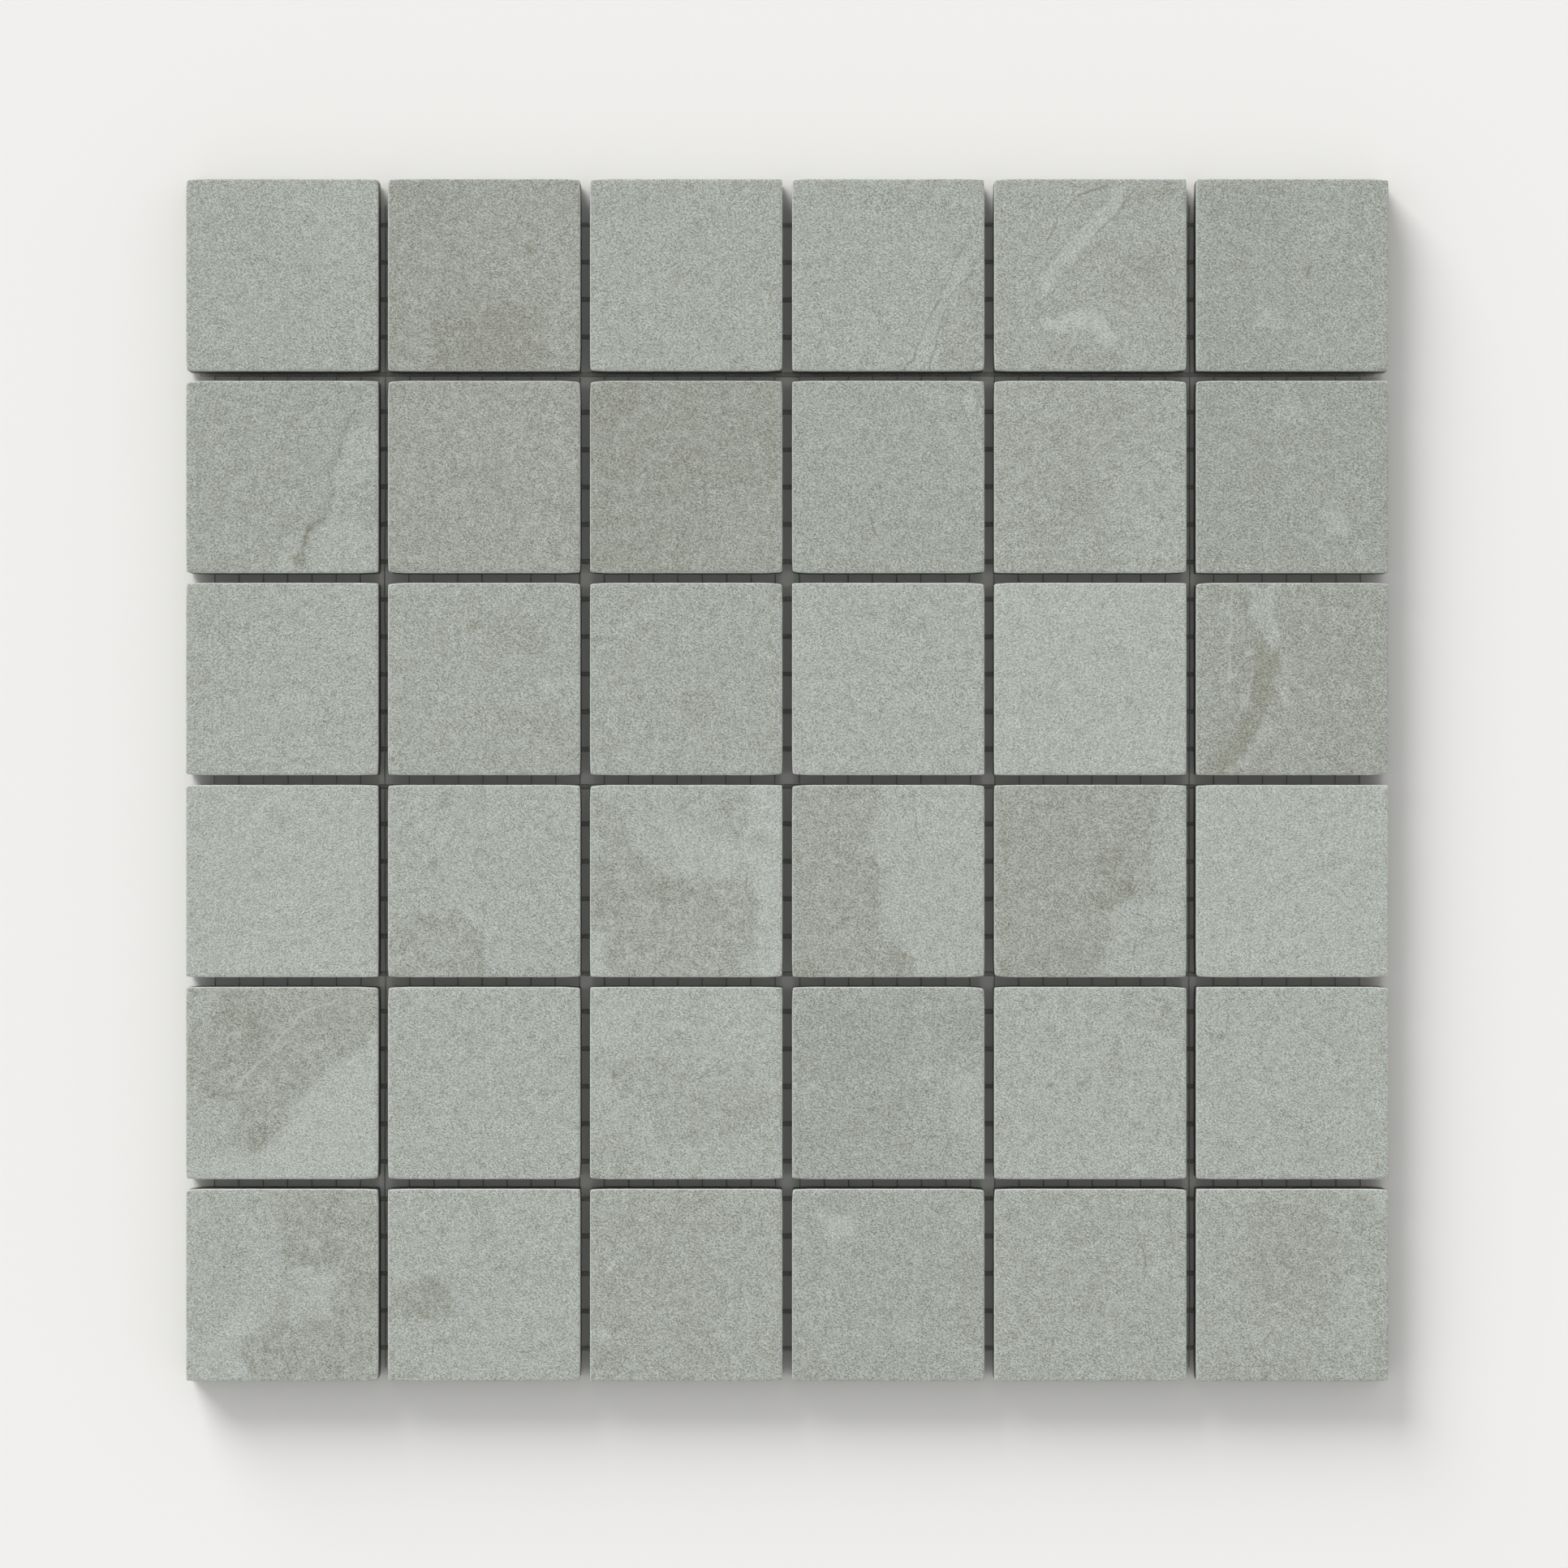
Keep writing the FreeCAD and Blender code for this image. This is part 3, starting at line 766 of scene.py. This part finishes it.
# %% [markdown]
# ## The relief of the face
# Split stone is never flat. Waves of four widths are added up, the finer ones lower. Where the stone has
# flaked away the face lies lower and rougher, and close to its edge it falls away like a pillow. A
# displace modifier could do this, but heights that are worked out here can also be measured.

# %% Raise the face
tile_half = (first_high.x - first_low.x) / 2 / MM
pillow_length = 0.9
pillow_depth = 0.05
wave_heights = {11: 0.03, 4.5: 0.028, 2.1: 0.016, 1.2: 0.01}
brown_depth = 0.02
flake_depth = 0.14
flake_roughness = 0.055
face_drop = 0.11
deepest = 0.4


def relief(name, x, y, layers):
    """Height of the face in mm, 0 at its highest: split-stone waves, flaked parts lower and rougher."""
    height = np.zeros(x.shape)
    for number, (feature, wave_height) in enumerate(wave_heights.items()):
        wave = soft_noise(x, y, feature, seed_of(name, 5 + number))
        height += wave_height * wave
    height -= brown_depth * layers["warm"]
    height += layers["flaked"] * (flake_roughness * wave - flake_depth)
    from_edge = tile_half - np.maximum(np.abs(x), np.abs(y))
    pillow = pillow_depth * np.clip(1 - from_edge / pillow_length, 0, 1) ** 2
    return np.clip(height - face_drop, -deepest, 0) - pillow


trial_depth = -relief("r2_c1", *trial_places, trial_wash).min()
print("deepest place of a flaked face in mm:", round(float(trial_depth), 3))

# %% [markdown]
# ## The grid of a tile
# A tile is pressed and fired as one body, so its mesh is one closed skin. It could be a cube with
# modifiers, but then the fine grid would also cover the sides and the back, where nothing needs it. Here
# the face is a fine grid, a few rings round its rim make the worn arris and the walls, and the back is a
# grid half as fine. The list of faces is the same for every tile, so it is worked out once.

# %% Number the corners of the grid
face_cells = 84
back_cells = face_cells // 2
arris_turns = (30, 60, 90)
wall_shares = (0.3, 0.55, 0.8, 1.0)
ring_count = len(arris_turns) + len(wall_shares)


def rim_of(cells):
    """Corner numbers round the rim of a square grid, in order, starting at its lower left."""
    numbers = np.arange((cells + 1) ** 2).reshape(cells + 1, cells + 1)
    return np.concatenate([numbers[0, :-1], numbers[:-1, -1], numbers[-1, :0:-1], numbers[:0:-1, 0]])


def grid_quads(cells, first):
    """The quads of a square grid whose corners start at number `first`."""
    numbers = first + np.arange((cells + 1) ** 2).reshape(cells + 1, cells + 1)
    lower = numbers[:-1, :-1], numbers[:-1, 1:]
    upper = numbers[1:, 1:], numbers[1:, :-1]
    return np.stack([*lower, *upper], -1).reshape(-1, 4)


def ring_quads(upper, lower):
    """The quads between two rings of corners, looking outward."""
    return np.stack([lower, np.roll(lower, -1), np.roll(upper, -1), upper], -1)


face_rim = rim_of(face_cells)
rim_length = len(face_rim)
first_ring = (face_cells + 1) ** 2
first_back = first_ring + ring_count * rim_length
rings = [first_ring + i * rim_length + np.arange(rim_length) for i in range(ring_count)]


def tile_faces():
    """The corner numbers of every face of a tile."""
    polygons = grid_quads(face_cells, 0).tolist()
    upper = face_rim
    for lower in rings:
        polygons += ring_quads(upper, lower).tolist()
        upper = lower
    back_rim = first_back + rim_of(back_cells)
    outer = rings[-1]
    for i, inner in enumerate(back_rim):
        start, middle, end = outer[2 * i], outer[2 * i + 1], outer[(2 * i + 2) % rim_length]
        following = back_rim[(i + 1) % len(back_rim)]
        polygons += [[start, inner, middle], [middle, inner, following], [middle, following, end]]
    polygons += grid_quads(back_cells, first_back)[:, ::-1].tolist()
    return polygons


tile_polygons = tile_faces()
tile_triangles = sum(len(corners) - 2 for corners in tile_polygons)
print(tile_triangles, "triangles in a tile,", 36 * tile_triangles, "in all")

# %% [markdown]
# ## The outline of a tile
# Seen from above, a tile is a square of 48 mm whose corners ease in and are nipped, and whose edges
# wander by a few hundredths of a millimetre. A bevel modifier would make all four corners alike. Here the
# grid itself is drawn in at its rim, a little more at one corner than at the next.

# %% Draw the outline
ease_length = 5.5
ease_depth = 0.22
nip_length = 0.5
nip_depth = 0.1
edge_wander = 0.04
wander_feature = 1.4
wander_fade = 6
far_place = 40.0
corner_wear = 0.9
corner_place = 9
corner_feature = 5
side_share = 0.5
finer_at_rim = 0.3


def spaced(cells):
    """Grid places from -1 to 1, closer together near the ends."""
    even = np.linspace(-1, 1, cells + 1)
    return even + finer_at_rim * even * (1 - np.abs(even))


def drawn_in(along, wear):
    """How far the outline stands in from a straight side, at a place along it, more at a corner with more
    wear.
    """
    from_corner = tile_half - np.abs(along)
    eased = ease_depth * np.clip(1 - from_corner / ease_length, 0, 1) ** 2
    nipped = nip_depth * np.clip(1 - from_corner / nip_length, 0, 1) ** 2
    return (eased + nipped) * wear


def square_places(name, columns, rows, inset):
    """Places of a grid that fills the tile's outline, `inset` mm in from it."""
    column, row = np.meshgrid(columns, rows)
    x = column * tile_half
    y = row * tile_half
    side_x = np.sign(x)
    side_y = np.sign(y)
    noise_x = soft_noise(side_x * far_place, y, wander_feature, seed_of(name, 11))
    noise_y = soft_noise(x, side_y * far_place, wander_feature, seed_of(name, 12))
    wander_x = edge_wander * noise_x * np.abs(column) ** wander_fade
    wander_y = edge_wander * noise_y * np.abs(row) ** wander_fade
    corner_x = side_x * corner_place
    corner_y = side_y * corner_place
    wear_x, wear_y = [
        1 + corner_wear * soft_noise(corner_x, corner_y, corner_feature, seed_of(name, layer))
        for layer in (15, 16)
    ]
    reach_x = tile_half - inset - side_share * drawn_in(y, wear_x)
    reach_y = tile_half - inset - drawn_in(x, wear_y)
    placed_x = column * reach_x - np.abs(wander_x) * side_x
    placed_y = row * reach_y - np.abs(wander_y) * side_y
    return placed_x.ravel(), placed_y.ravel()


trial_x, trial_y = square_places("r1_c1", spaced(face_cells), spaced(face_cells), 0)
print("the first tile reaches", round(float(trial_x.max()), 3), "mm from its middle to the right")

# %% [markdown]
# ## The sides and the back
# The arris between the face and the walls is worn round, a little more here than there, so three rings of
# corners turn over it, and four more go down the wall. Three keying grooves run up the back, so that
# mortar can grip it. They show at the foot of the walls, where they run out.

# %% Place all corners of a tile
tile_thickness = (first_high.z - first_low.z) / MM
arris_radius = 0.23
arris_wear = 0.45
wall_roughness = 0.02
groove_places = (-12.0, 0.0, 12.0)
groove_mouth = 3.0
groove_depth = 0.5
back_bevel = 0.25


def groove_height(x):
    """How far the back is hollowed at x: keying grooves with sloping flanks."""
    depth = np.zeros(x.shape)
    for middle in groove_places:
        depth = np.maximum(depth, np.clip(groove_mouth / 2 - np.abs(x - middle), 0, groove_depth))
    return depth


def columns_of_back():
    """Columns of the back's grid, the nearest moved onto the edges of the grooves to keep them crisp."""
    columns = spaced(back_cells)
    for middle in groove_places:
        for reach in (groove_mouth / 2, groove_mouth / 2 - groove_depth):
            for edge in (middle - reach, middle + reach):
                columns[np.argmin(np.abs(columns - edge / tile_half))] = edge / tile_half
    return columns


def tile_corners(name):
    """All corners of a tile's mesh in mm, the middle of its face at 0, 0, and what its face shows."""
    face_places = spaced(face_cells)
    face_x, face_y = square_places(name, face_places, face_places, arris_radius)
    outer_x, outer_y = square_places(name, face_places, face_places, 0)
    layers = wash(name, face_x, face_y)
    face_z = tile_thickness + relief(name, face_x, face_y, layers)
    layers.update(hairlines(name, face_x, face_y))
    parts = [(face_x, face_y, face_z)]
    rim_x, rim_y, rim_z = face_x[face_rim], face_y[face_rim], face_z[face_rim]
    wall_x, wall_y = outer_x[face_rim], outer_y[face_rim]
    wear = 1 + arris_wear * soft_noise(rim_x, rim_y, 1.7, seed_of(name, 13))
    for turn in arris_turns:
        out = math.sin(math.radians(turn))
        down = arris_radius * wear * (1 - math.cos(math.radians(turn)))
        parts.append((rim_x + (wall_x - rim_x) * out, rim_y + (wall_y - rim_y) * out, rim_z - down))
    hollow = groove_height(wall_x) * (np.abs(wall_y) > np.abs(wall_x))
    top = tile_thickness - 2 * arris_radius
    for share in wall_shares:
        rough = wall_roughness * soft_noise(wall_x + wall_y, 9 * share + 0 * wall_x, 2, seed_of(name, 14))
        narrower = 1 - np.abs(rough) / tile_half
        height = top - share * (top - back_bevel) + hollow * (share == 1)
        parts.append((wall_x * narrower, wall_y * narrower, height))
    back_x, back_y = square_places(name, columns_of_back(), spaced(back_cells), back_bevel)
    parts.append((back_x, back_y, groove_height(back_x)))
    x, y, z = np.concatenate(parts, axis=1)
    return x, y, z, layers


trial = tile_corners("r1_c1")
trial_heights = round(trial[2].min(), 3), round(trial[2].max(), 3)
print(len(trial[0]), "corners in a tile, lowest and highest at", trial_heights, "mm")

# %% [markdown]
# ## Short nodes
# A material is a small network of nodes. A few helpers keep each network readable: they read a value that
# the mesh carries, stretch a place along the grain, make noise, turn a range into another, calculate,
# blend two colours, and link the surface up. What is the same all over is set on the sockets themselves.

# %% Helpers for materials
def carried(tree, name, output="Fac"):
    """A value that the mesh carries at its corners."""
    node = tree.nodes.new("ShaderNodeAttribute")
    node.attribute_name = name
    return node.outputs[output]


def stretched(tree, place, stretch):
    """The same place, with everything `stretch` times longer along the grain."""
    node = tree.nodes.new("ShaderNodeMapping")
    node.inputs["Scale"].default_value = (1 / stretch, 1, 1)
    tree.links.new(place, node.inputs["Vector"])
    return node.outputs["Vector"]


def noise(tree, place, scale, detail, roughness):
    """Noise at a place, with `scale` features to a unit."""
    node = tree.nodes.new("ShaderNodeTexNoise")
    node.inputs["Scale"].default_value = scale
    node.inputs["Detail"].default_value = detail
    node.inputs["Roughness"].default_value = roughness
    tree.links.new(place, node.inputs["Vector"])
    return node.outputs["Fac"]


def remap(tree, value, low=0, high=1, new_low=0, new_high=1):
    """A range of a value stretched to another range, and cut off outside it."""
    node = tree.nodes.new("ShaderNodeMapRange")
    sockets = ("From Min", "From Max", "To Min", "To Max")
    for socket, number in zip(sockets, (low, high, new_low, new_high)):
        node.inputs[socket].default_value = number
    tree.links.new(value, node.inputs["Value"])
    return node.outputs["Result"]


def calculate(tree, operation, first, second):
    """Two values put together; the second may be a plain number."""
    node = tree.nodes.new("ShaderNodeMath")
    node.operation = operation
    tree.links.new(first, node.inputs[0])
    if isinstance(second, (int, float)):
        node.inputs[1].default_value = second
    else:
        tree.links.new(second, node.inputs[1])
    return node.outputs["Value"]


def mixed(tree, share, first, second):
    """A blend of two colours, each a colour or the output of another node."""
    node = tree.nodes.new("ShaderNodeMix")
    node.data_type = "RGBA"
    tree.links.new(share, node.inputs["Factor"])
    for socket, colour in zip(node.inputs[6:8], (first, second)):
        if isinstance(colour, tuple):
            socket.default_value = colour
        else:
            tree.links.new(colour, socket)
    return node.outputs[2]


def finish_surface(tree, shader, colour, roughness, height, distance):
    """Give a surface its colour and roughness, and a relief up to `distance` high."""
    tree.links.new(colour, shader.inputs["Base Color"])
    tree.links.new(roughness, shader.inputs["Roughness"])
    bump = tree.nodes.new("ShaderNodeBump")
    bump.inputs["Distance"].default_value = distance
    tree.links.new(height, bump.inputs["Height"])
    tree.links.new(bump.outputs["Normal"], shader.inputs["Normal"])


print("helpers: carried, stretched, noise, remap, calculate, mixed, finish_surface")

# %% [markdown]
# ## The stone look of the face
# The face is dull ceramic that hardly shines even at a low angle, with a dense grain of short light and
# dark streaks, less than half a millimetre wide. That is far too fine for the mesh, so it is noise in the
# material, read at places that are stretched along the streaks. The washes carried by the mesh are
# roughened by a coarser noise, so that their edges break up. The streaks also raise the surface slightly.

# %% The tile material
stone_dark = seen(131, 131, 119)
stone_light = seen(193, 200, 196)
brown_dark = seen(106, 103, 84)
brown_light = seen(168, 171, 161)
chalk_dark = seen(150, 153, 143)
chalk_light = seen(203, 210, 206)
plum_dark = seen(118, 118, 108)
plum_light = seen(180, 186, 181)
# This white colours the chalky veins, and the arris too, for edge wear and as a painted highlight along the
# tile's edges.
vein_and_highlight_white = seen(186, 191, 185)
crack_brown = seen(130, 128, 117)
# The body colours are darker than the face: partly the tile's body, partly painted shade for the deep
# joints.
body_dark_with_shade = seen(116, 117, 111)
body_light_with_shade = seen(140, 141, 135)
streaks_per_mm = 4.5
streak_stretch = 2.2
streak_height = 0.08 * MM
coarse_per_mm = 1.6
coarse_share = 0.08
grain_low, grain_high = 0.388, 0.68
mottle_per_mm = 0.36
mottle_reach = 0.55
line_edge = 0.1
vein_strength = 0.7
crack_strength = 0.75
light_roughness, dark_roughness = 0.7, 0.8
face_shine, body_shine = 0.2, 0.05


def make_tile_material():
    """Matt ceramic: grain, washes of tint, a pale arris for wear and painted highlight, and the plain body
    at the sides and back, darkened as painted shade.
    """
    material, shader = new_material("matt stone-look ceramic")
    tree = material.node_tree
    place = carried(tree, "grain_place", "Vector")
    streaks = noise(tree, stretched(tree, place, streak_stretch), streaks_per_mm, 1.0, 0.7)
    coarse = noise(tree, place, coarse_per_mm, 1.0, 0.5)
    texture = calculate(tree, "ADD", streaks, calculate(tree, "MULTIPLY", coarse, coarse_share))
    grain = remap(tree, texture, grain_low, grain_high)
    colour = mixed(tree, grain, stone_dark, stone_light)
    mottle = noise(tree, place, mottle_per_mm, 3.0, 0.6)
    ragged = remap(tree, mottle, 0, 1, -mottle_reach, mottle_reach)
    shades = {
        "warm": (brown_dark, brown_light),
        "plum": (plum_dark, plum_light),
        "pale": (chalk_dark, chalk_light),
    }
    for tint, (dark, light) in shades.items():
        turn = "SUBTRACT" if tint == "pale" else "ADD"
        amount = remap(tree, calculate(tree, turn, carried(tree, tint), ragged))
        colour = mixed(tree, amount, colour, mixed(tree, grain, dark, light))
    wobble = remap(tree, calculate(tree, "ADD", coarse, streaks), 0, 2, -1, 1)
    line_side = calculate(tree, "ADD", carried(tree, "line_side"), wobble)
    off_line = calculate(tree, "ABSOLUTE", line_side, 0.0)
    lines = (("vein", vein_and_highlight_white, vein_strength), ("crack", crack_brown, crack_strength))
    for kind, line_colour, strongest in lines:
        inside = calculate(tree, "SUBTRACT", carried(tree, kind), off_line)
        shown = remap(tree, inside, -line_edge, line_edge, 0, strongest)
        colour = mixed(tree, shown, colour, line_colour)
    # The arris is paler, for edge wear and as a painted highlight along the tile's edges.
    colour = mixed(tree, carried(tree, "worn_and_highlit"), colour, vein_and_highlight_white)
    # Sides and back take the darker body colour, more of it down the walls: painted shade in the joints.
    bare_and_shaded = carried(tree, "fired_and_shaded")
    colour = mixed(tree, bare_and_shaded, colour, mixed(tree, grain, body_dark_with_shade, body_light_with_shade))
    matt = calculate(tree, "MAXIMUM", remap(tree, grain, 0, 1, dark_roughness, light_roughness), bare_and_shaded)
    shine = remap(tree, bare_and_shaded, 0, 1, face_shine, body_shine)
    tree.links.new(shine, shader.inputs["Specular IOR Level"])
    finish_surface(tree, shader, colour, matt, streaks, streak_height)
    return material


tile_material = make_tile_material()
print(len(tile_material.node_tree.nodes), "nodes in the tile material")

# %% [markdown]
# ## Thirty-six tiles
# Each tile is a mesh of its own in the place of its CAD node. It takes the shared list of faces, and its
# own corners, washes and grain. The streaks run down to the right on most tiles, and rise to the right
# on six, as on pieces that were cut the other way.

# %% Make the tiles
grain_turn = {name: math.radians(-28) for name in faces}
turned_tiles = ("r2_c1", "r2_c5", "r3_c1", "r3_c5", "r4_c1", "r4_c6")
grain_turn.update({name: math.radians(32) for name in turned_tiles})
# How pale the arris turns: edge wear and a painted highlight.
edge_wear_and_highlight = 0.7
# How much of the darker body colour each rim ring takes, rising down the wall as painted shade.
body_shade_down_wall = (0, 0, 0.15, 0.55, 0.85, 1, 1)
grain_bend = 0.7
row_distance = 60.0
column_distance = 11.0


def smooth_object(name, corners, polygons, material):
    """A new object with smooth shading, from its corners in metres."""
    mesh = bpy.data.meshes.new(name)
    mesh.from_pydata(corners, [], polygons)
    mesh.polygons.foreach_set("use_smooth", np.ones(len(mesh.polygons), bool))
    mesh.materials.append(material)
    return add_object(name, mesh)


def carry(mesh, name, *values):
    """Let a mesh carry values at its corners, and 0 at the corners that are left over."""
    given = np.concatenate(values)
    padded = np.zeros(len(mesh.vertices), np.float32)
    padded[:len(given)] = given
    mesh.attributes.new(name, "FLOAT", "POINT").data.foreach_set("value", padded)


def grain_places(name, x, y, z):
    """Where each corner lies in the grain, in mm: along, across and in depth, far from other tiles."""
    turn = grain_turn[name]
    bent = grain_bend * soft_noise(x, y, 7, seed_of(name, 21))
    along = x * math.cos(turn) + y * math.sin(turn)
    across = -x * math.sin(turn) + y * math.cos(turn) + bent
    apart = row_distance * int(name[1]) + column_distance * int(name[4])
    return np.stack([along, across, z + apart + 0.1 * along + 0.5 * across], -1).astype(np.float32)


def make_tile(name):
    """One tile, in the place of its CAD node."""
    node = "tile_" + name
    low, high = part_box(node)
    middle = (low + high) / 2
    x, y, z, layers = tile_corners(name)
    corners = np.stack([x * MM + middle.x, y * MM + middle.y, z * MM + low.z], -1)
    tile = smooth_object(f"{node}_fired", corners.tolist(), tile_polygons, tile_material)
    mesh = tile.data
    for layer, values in layers.items():
        carry(mesh, layer, values, values[face_rim], values[face_rim])
    face_zeros = np.zeros(first_ring)
    # The two arris rings carry the paler edge: wear and painted highlight.
    carry(mesh, "worn_and_highlit", face_zeros, np.full(2 * rim_length, edge_wear_and_highlight))
    # The rings down the walls take more of the darker body colour, as painted shade; the back takes all of
    # it.
    bare_and_shaded = [np.full(rim_length, share) for share in body_shade_down_wall]
    carry(mesh, "fired_and_shaded", face_zeros, *bare_and_shaded, np.ones(len(x) - first_back))
    grain_place = mesh.attributes.new("grain_place", "FLOAT_VECTOR", "POINT")
    grain_place.data.foreach_set("vector", grain_places(name, x, y, z).ravel())
    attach(tile, "root")
    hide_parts(node)
    return tile


tiles = [make_tile(node.removeprefix("tile_")) for node in tile_nodes]
print(len(tiles), "tiles made")

# %% [markdown]
# ## The backing net
# The net is a leno weave: flat tapes of glass fibre run across, and pairs of thin threads run up. The two
# threads of a pair cross at every tape, one over it and one under, and so grip it from both sides. It
# could be a curve with a bevel for each thread. Here every strand is swept as one thin tube with four or
# six sides, because 1488 crossings have to stay light. It shows at the back, and down in the joints.

# %% Weave the net
net_boxes = [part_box(node) for node in net_nodes]
net_low = Vector([min(low[axis] for low, high in net_boxes) for axis in range(3)]) / MM
net_high = Vector([max(high[axis] for low, high in net_boxes) for axis in range(3)]) / MM
net_thickness = net_high.z - net_low.z
tape_count = 31
tape_pitch = 9.405
tape_width = 1.1
tape_thickness = 0.2
thread_pairs = 48
pair_pitch = 6.12
thread_radius = 0.08
thread_offset = 0.07
thread_gap = 0.005
tape_sway = 0.12
tape_width_change = 0.12
pair_sway = 0.15
net_middle_y = (net_low.y + net_high.y) / 2
net_middle_z = net_low.z + net_thickness / 2
tape_section = [(-1, 0), (-0.6, -0.8), (0.6, -0.8), (1, 0), (0.6, 0.8), (-0.6, 0.8)]
thread_section = [(-1, 0), (0, -1), (1, 0), (0, 1)]
net_corners = []
net_faces = []


def sweep(path, side, reaches, rise, section):
    """Add a strand to the net: a section swept along a path, `reaches` wide to each side, `rise` high."""
    first = len(net_corners)
    sides = len(section)
    for (x, y, z), reach in zip(path, reaches):
        for across, above in section:
            out = across * reach
            net_corners.append((x + side[0] * out, y + side[1] * out, z + above * rise))
    for ring in range(len(path) - 1):
        for i in range(sides):
            a = first + ring * sides + i
            b = first + ring * sides + (i + 1) % sides
            net_faces.append((a, b, b + sides, a + sides))
    last = len(net_corners) - sides
    net_faces.append(tuple(first + i for i in reversed(range(sides))))
    net_faces.append(tuple(last + i for i in range(sides)))


def weave_tapes():
    """The flat tapes, from the bottom side of the sheet to the top."""
    x = np.linspace(net_low.x, net_high.x, 2 * thread_pairs + 1)
    z = np.full(x.shape, net_middle_z)
    for number in range(tape_count):
        straight = net_middle_y + (number - (tape_count - 1) / 2) * tape_pitch
        y = straight + tape_sway * soft_noise(x, 0 * x + 5 * number, 20, 91)
        wider = 1 + tape_width_change * soft_noise(x, 0 * x + 3 * number, 4, 92)
        sweep(list(zip(x, y, z)), (0, 1), tape_width / 2 * wider, tape_thickness / 2, tape_section)


def weave_pairs():
    """The pairs of threads, from left to right: side by side between tapes, over and under each tape."""
    y = np.linspace(net_low.y, net_high.y, 4 * (tape_count + 1) + 1)
    phase = (y - net_middle_y) / tape_pitch * math.pi
    radii = np.full(y.shape, thread_radius)
    for number in range(thread_pairs):
        straight = (number - (thread_pairs - 1) / 2) * pair_pitch
        drift = pair_sway * soft_noise(y, 0 * y + 7 * number, 25, 93)
        for side in (-1, 1):
            x = straight + drift + side * thread_offset * np.sin(phase)
            lift = (net_thickness / 2 - thread_radius - thread_gap) * np.cos(phase) * side
            sweep(list(zip(x, y, net_middle_z + lift)), (1, 0), radii, thread_radius, thread_section)


weave_tapes()
weave_pairs()
net_triangles = sum(len(corners) - 2 for corners in net_faces)
print(net_triangles, "triangles in the net")

# %% [markdown]
# ## Glass fibre
# The strands are bundles of fine glass filaments, dipped in a resin that dries whitish and slightly
# glossy. Fine noise gives the filaments, in colour and in bump, and coarse noise the uneven resin.

# %% The net material and piece
net_shadow = seen(150, 149, 144)
net_bright = seen(196, 195, 190)
filaments_per_metre = 2600
resin_patches_per_metre = 260
filament_height = 0.02 * MM


def make_net_material():
    """Resin-coated glass fibre."""
    material, shader = new_material("coated glass fibre")
    tree = material.node_tree
    place = tree.nodes.new("ShaderNodeTexCoord").outputs["Object"]
    filaments = noise(tree, place, filaments_per_metre, 3.0, 0.6)
    patches = noise(tree, place, resin_patches_per_metre, 2.0, 0.5)
    colour = mixed(tree, remap(tree, filaments, 0.3, 0.7), net_shadow, net_bright)
    colour = mixed(tree, remap(tree, patches, 0.4, 0.75, 0, 0.5), colour, net_shadow)
    sheen = remap(tree, patches, 0.3, 0.7, 0.4, 0.62)
    finish_surface(tree, shader, colour, sheen, filaments, filament_height)
    return material


def make_net():
    """The net as one piece, in the place of its four CAD nodes."""
    corners = [(x * MM, y * MM, z * MM) for x, y, z in net_corners]
    net = smooth_object("backing_net", corners, net_faces, make_net_material())
    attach(net, "root")
    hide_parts(*net_nodes)
    return net


net = make_net()
print("the net has", len(net.data.vertices), "corners")
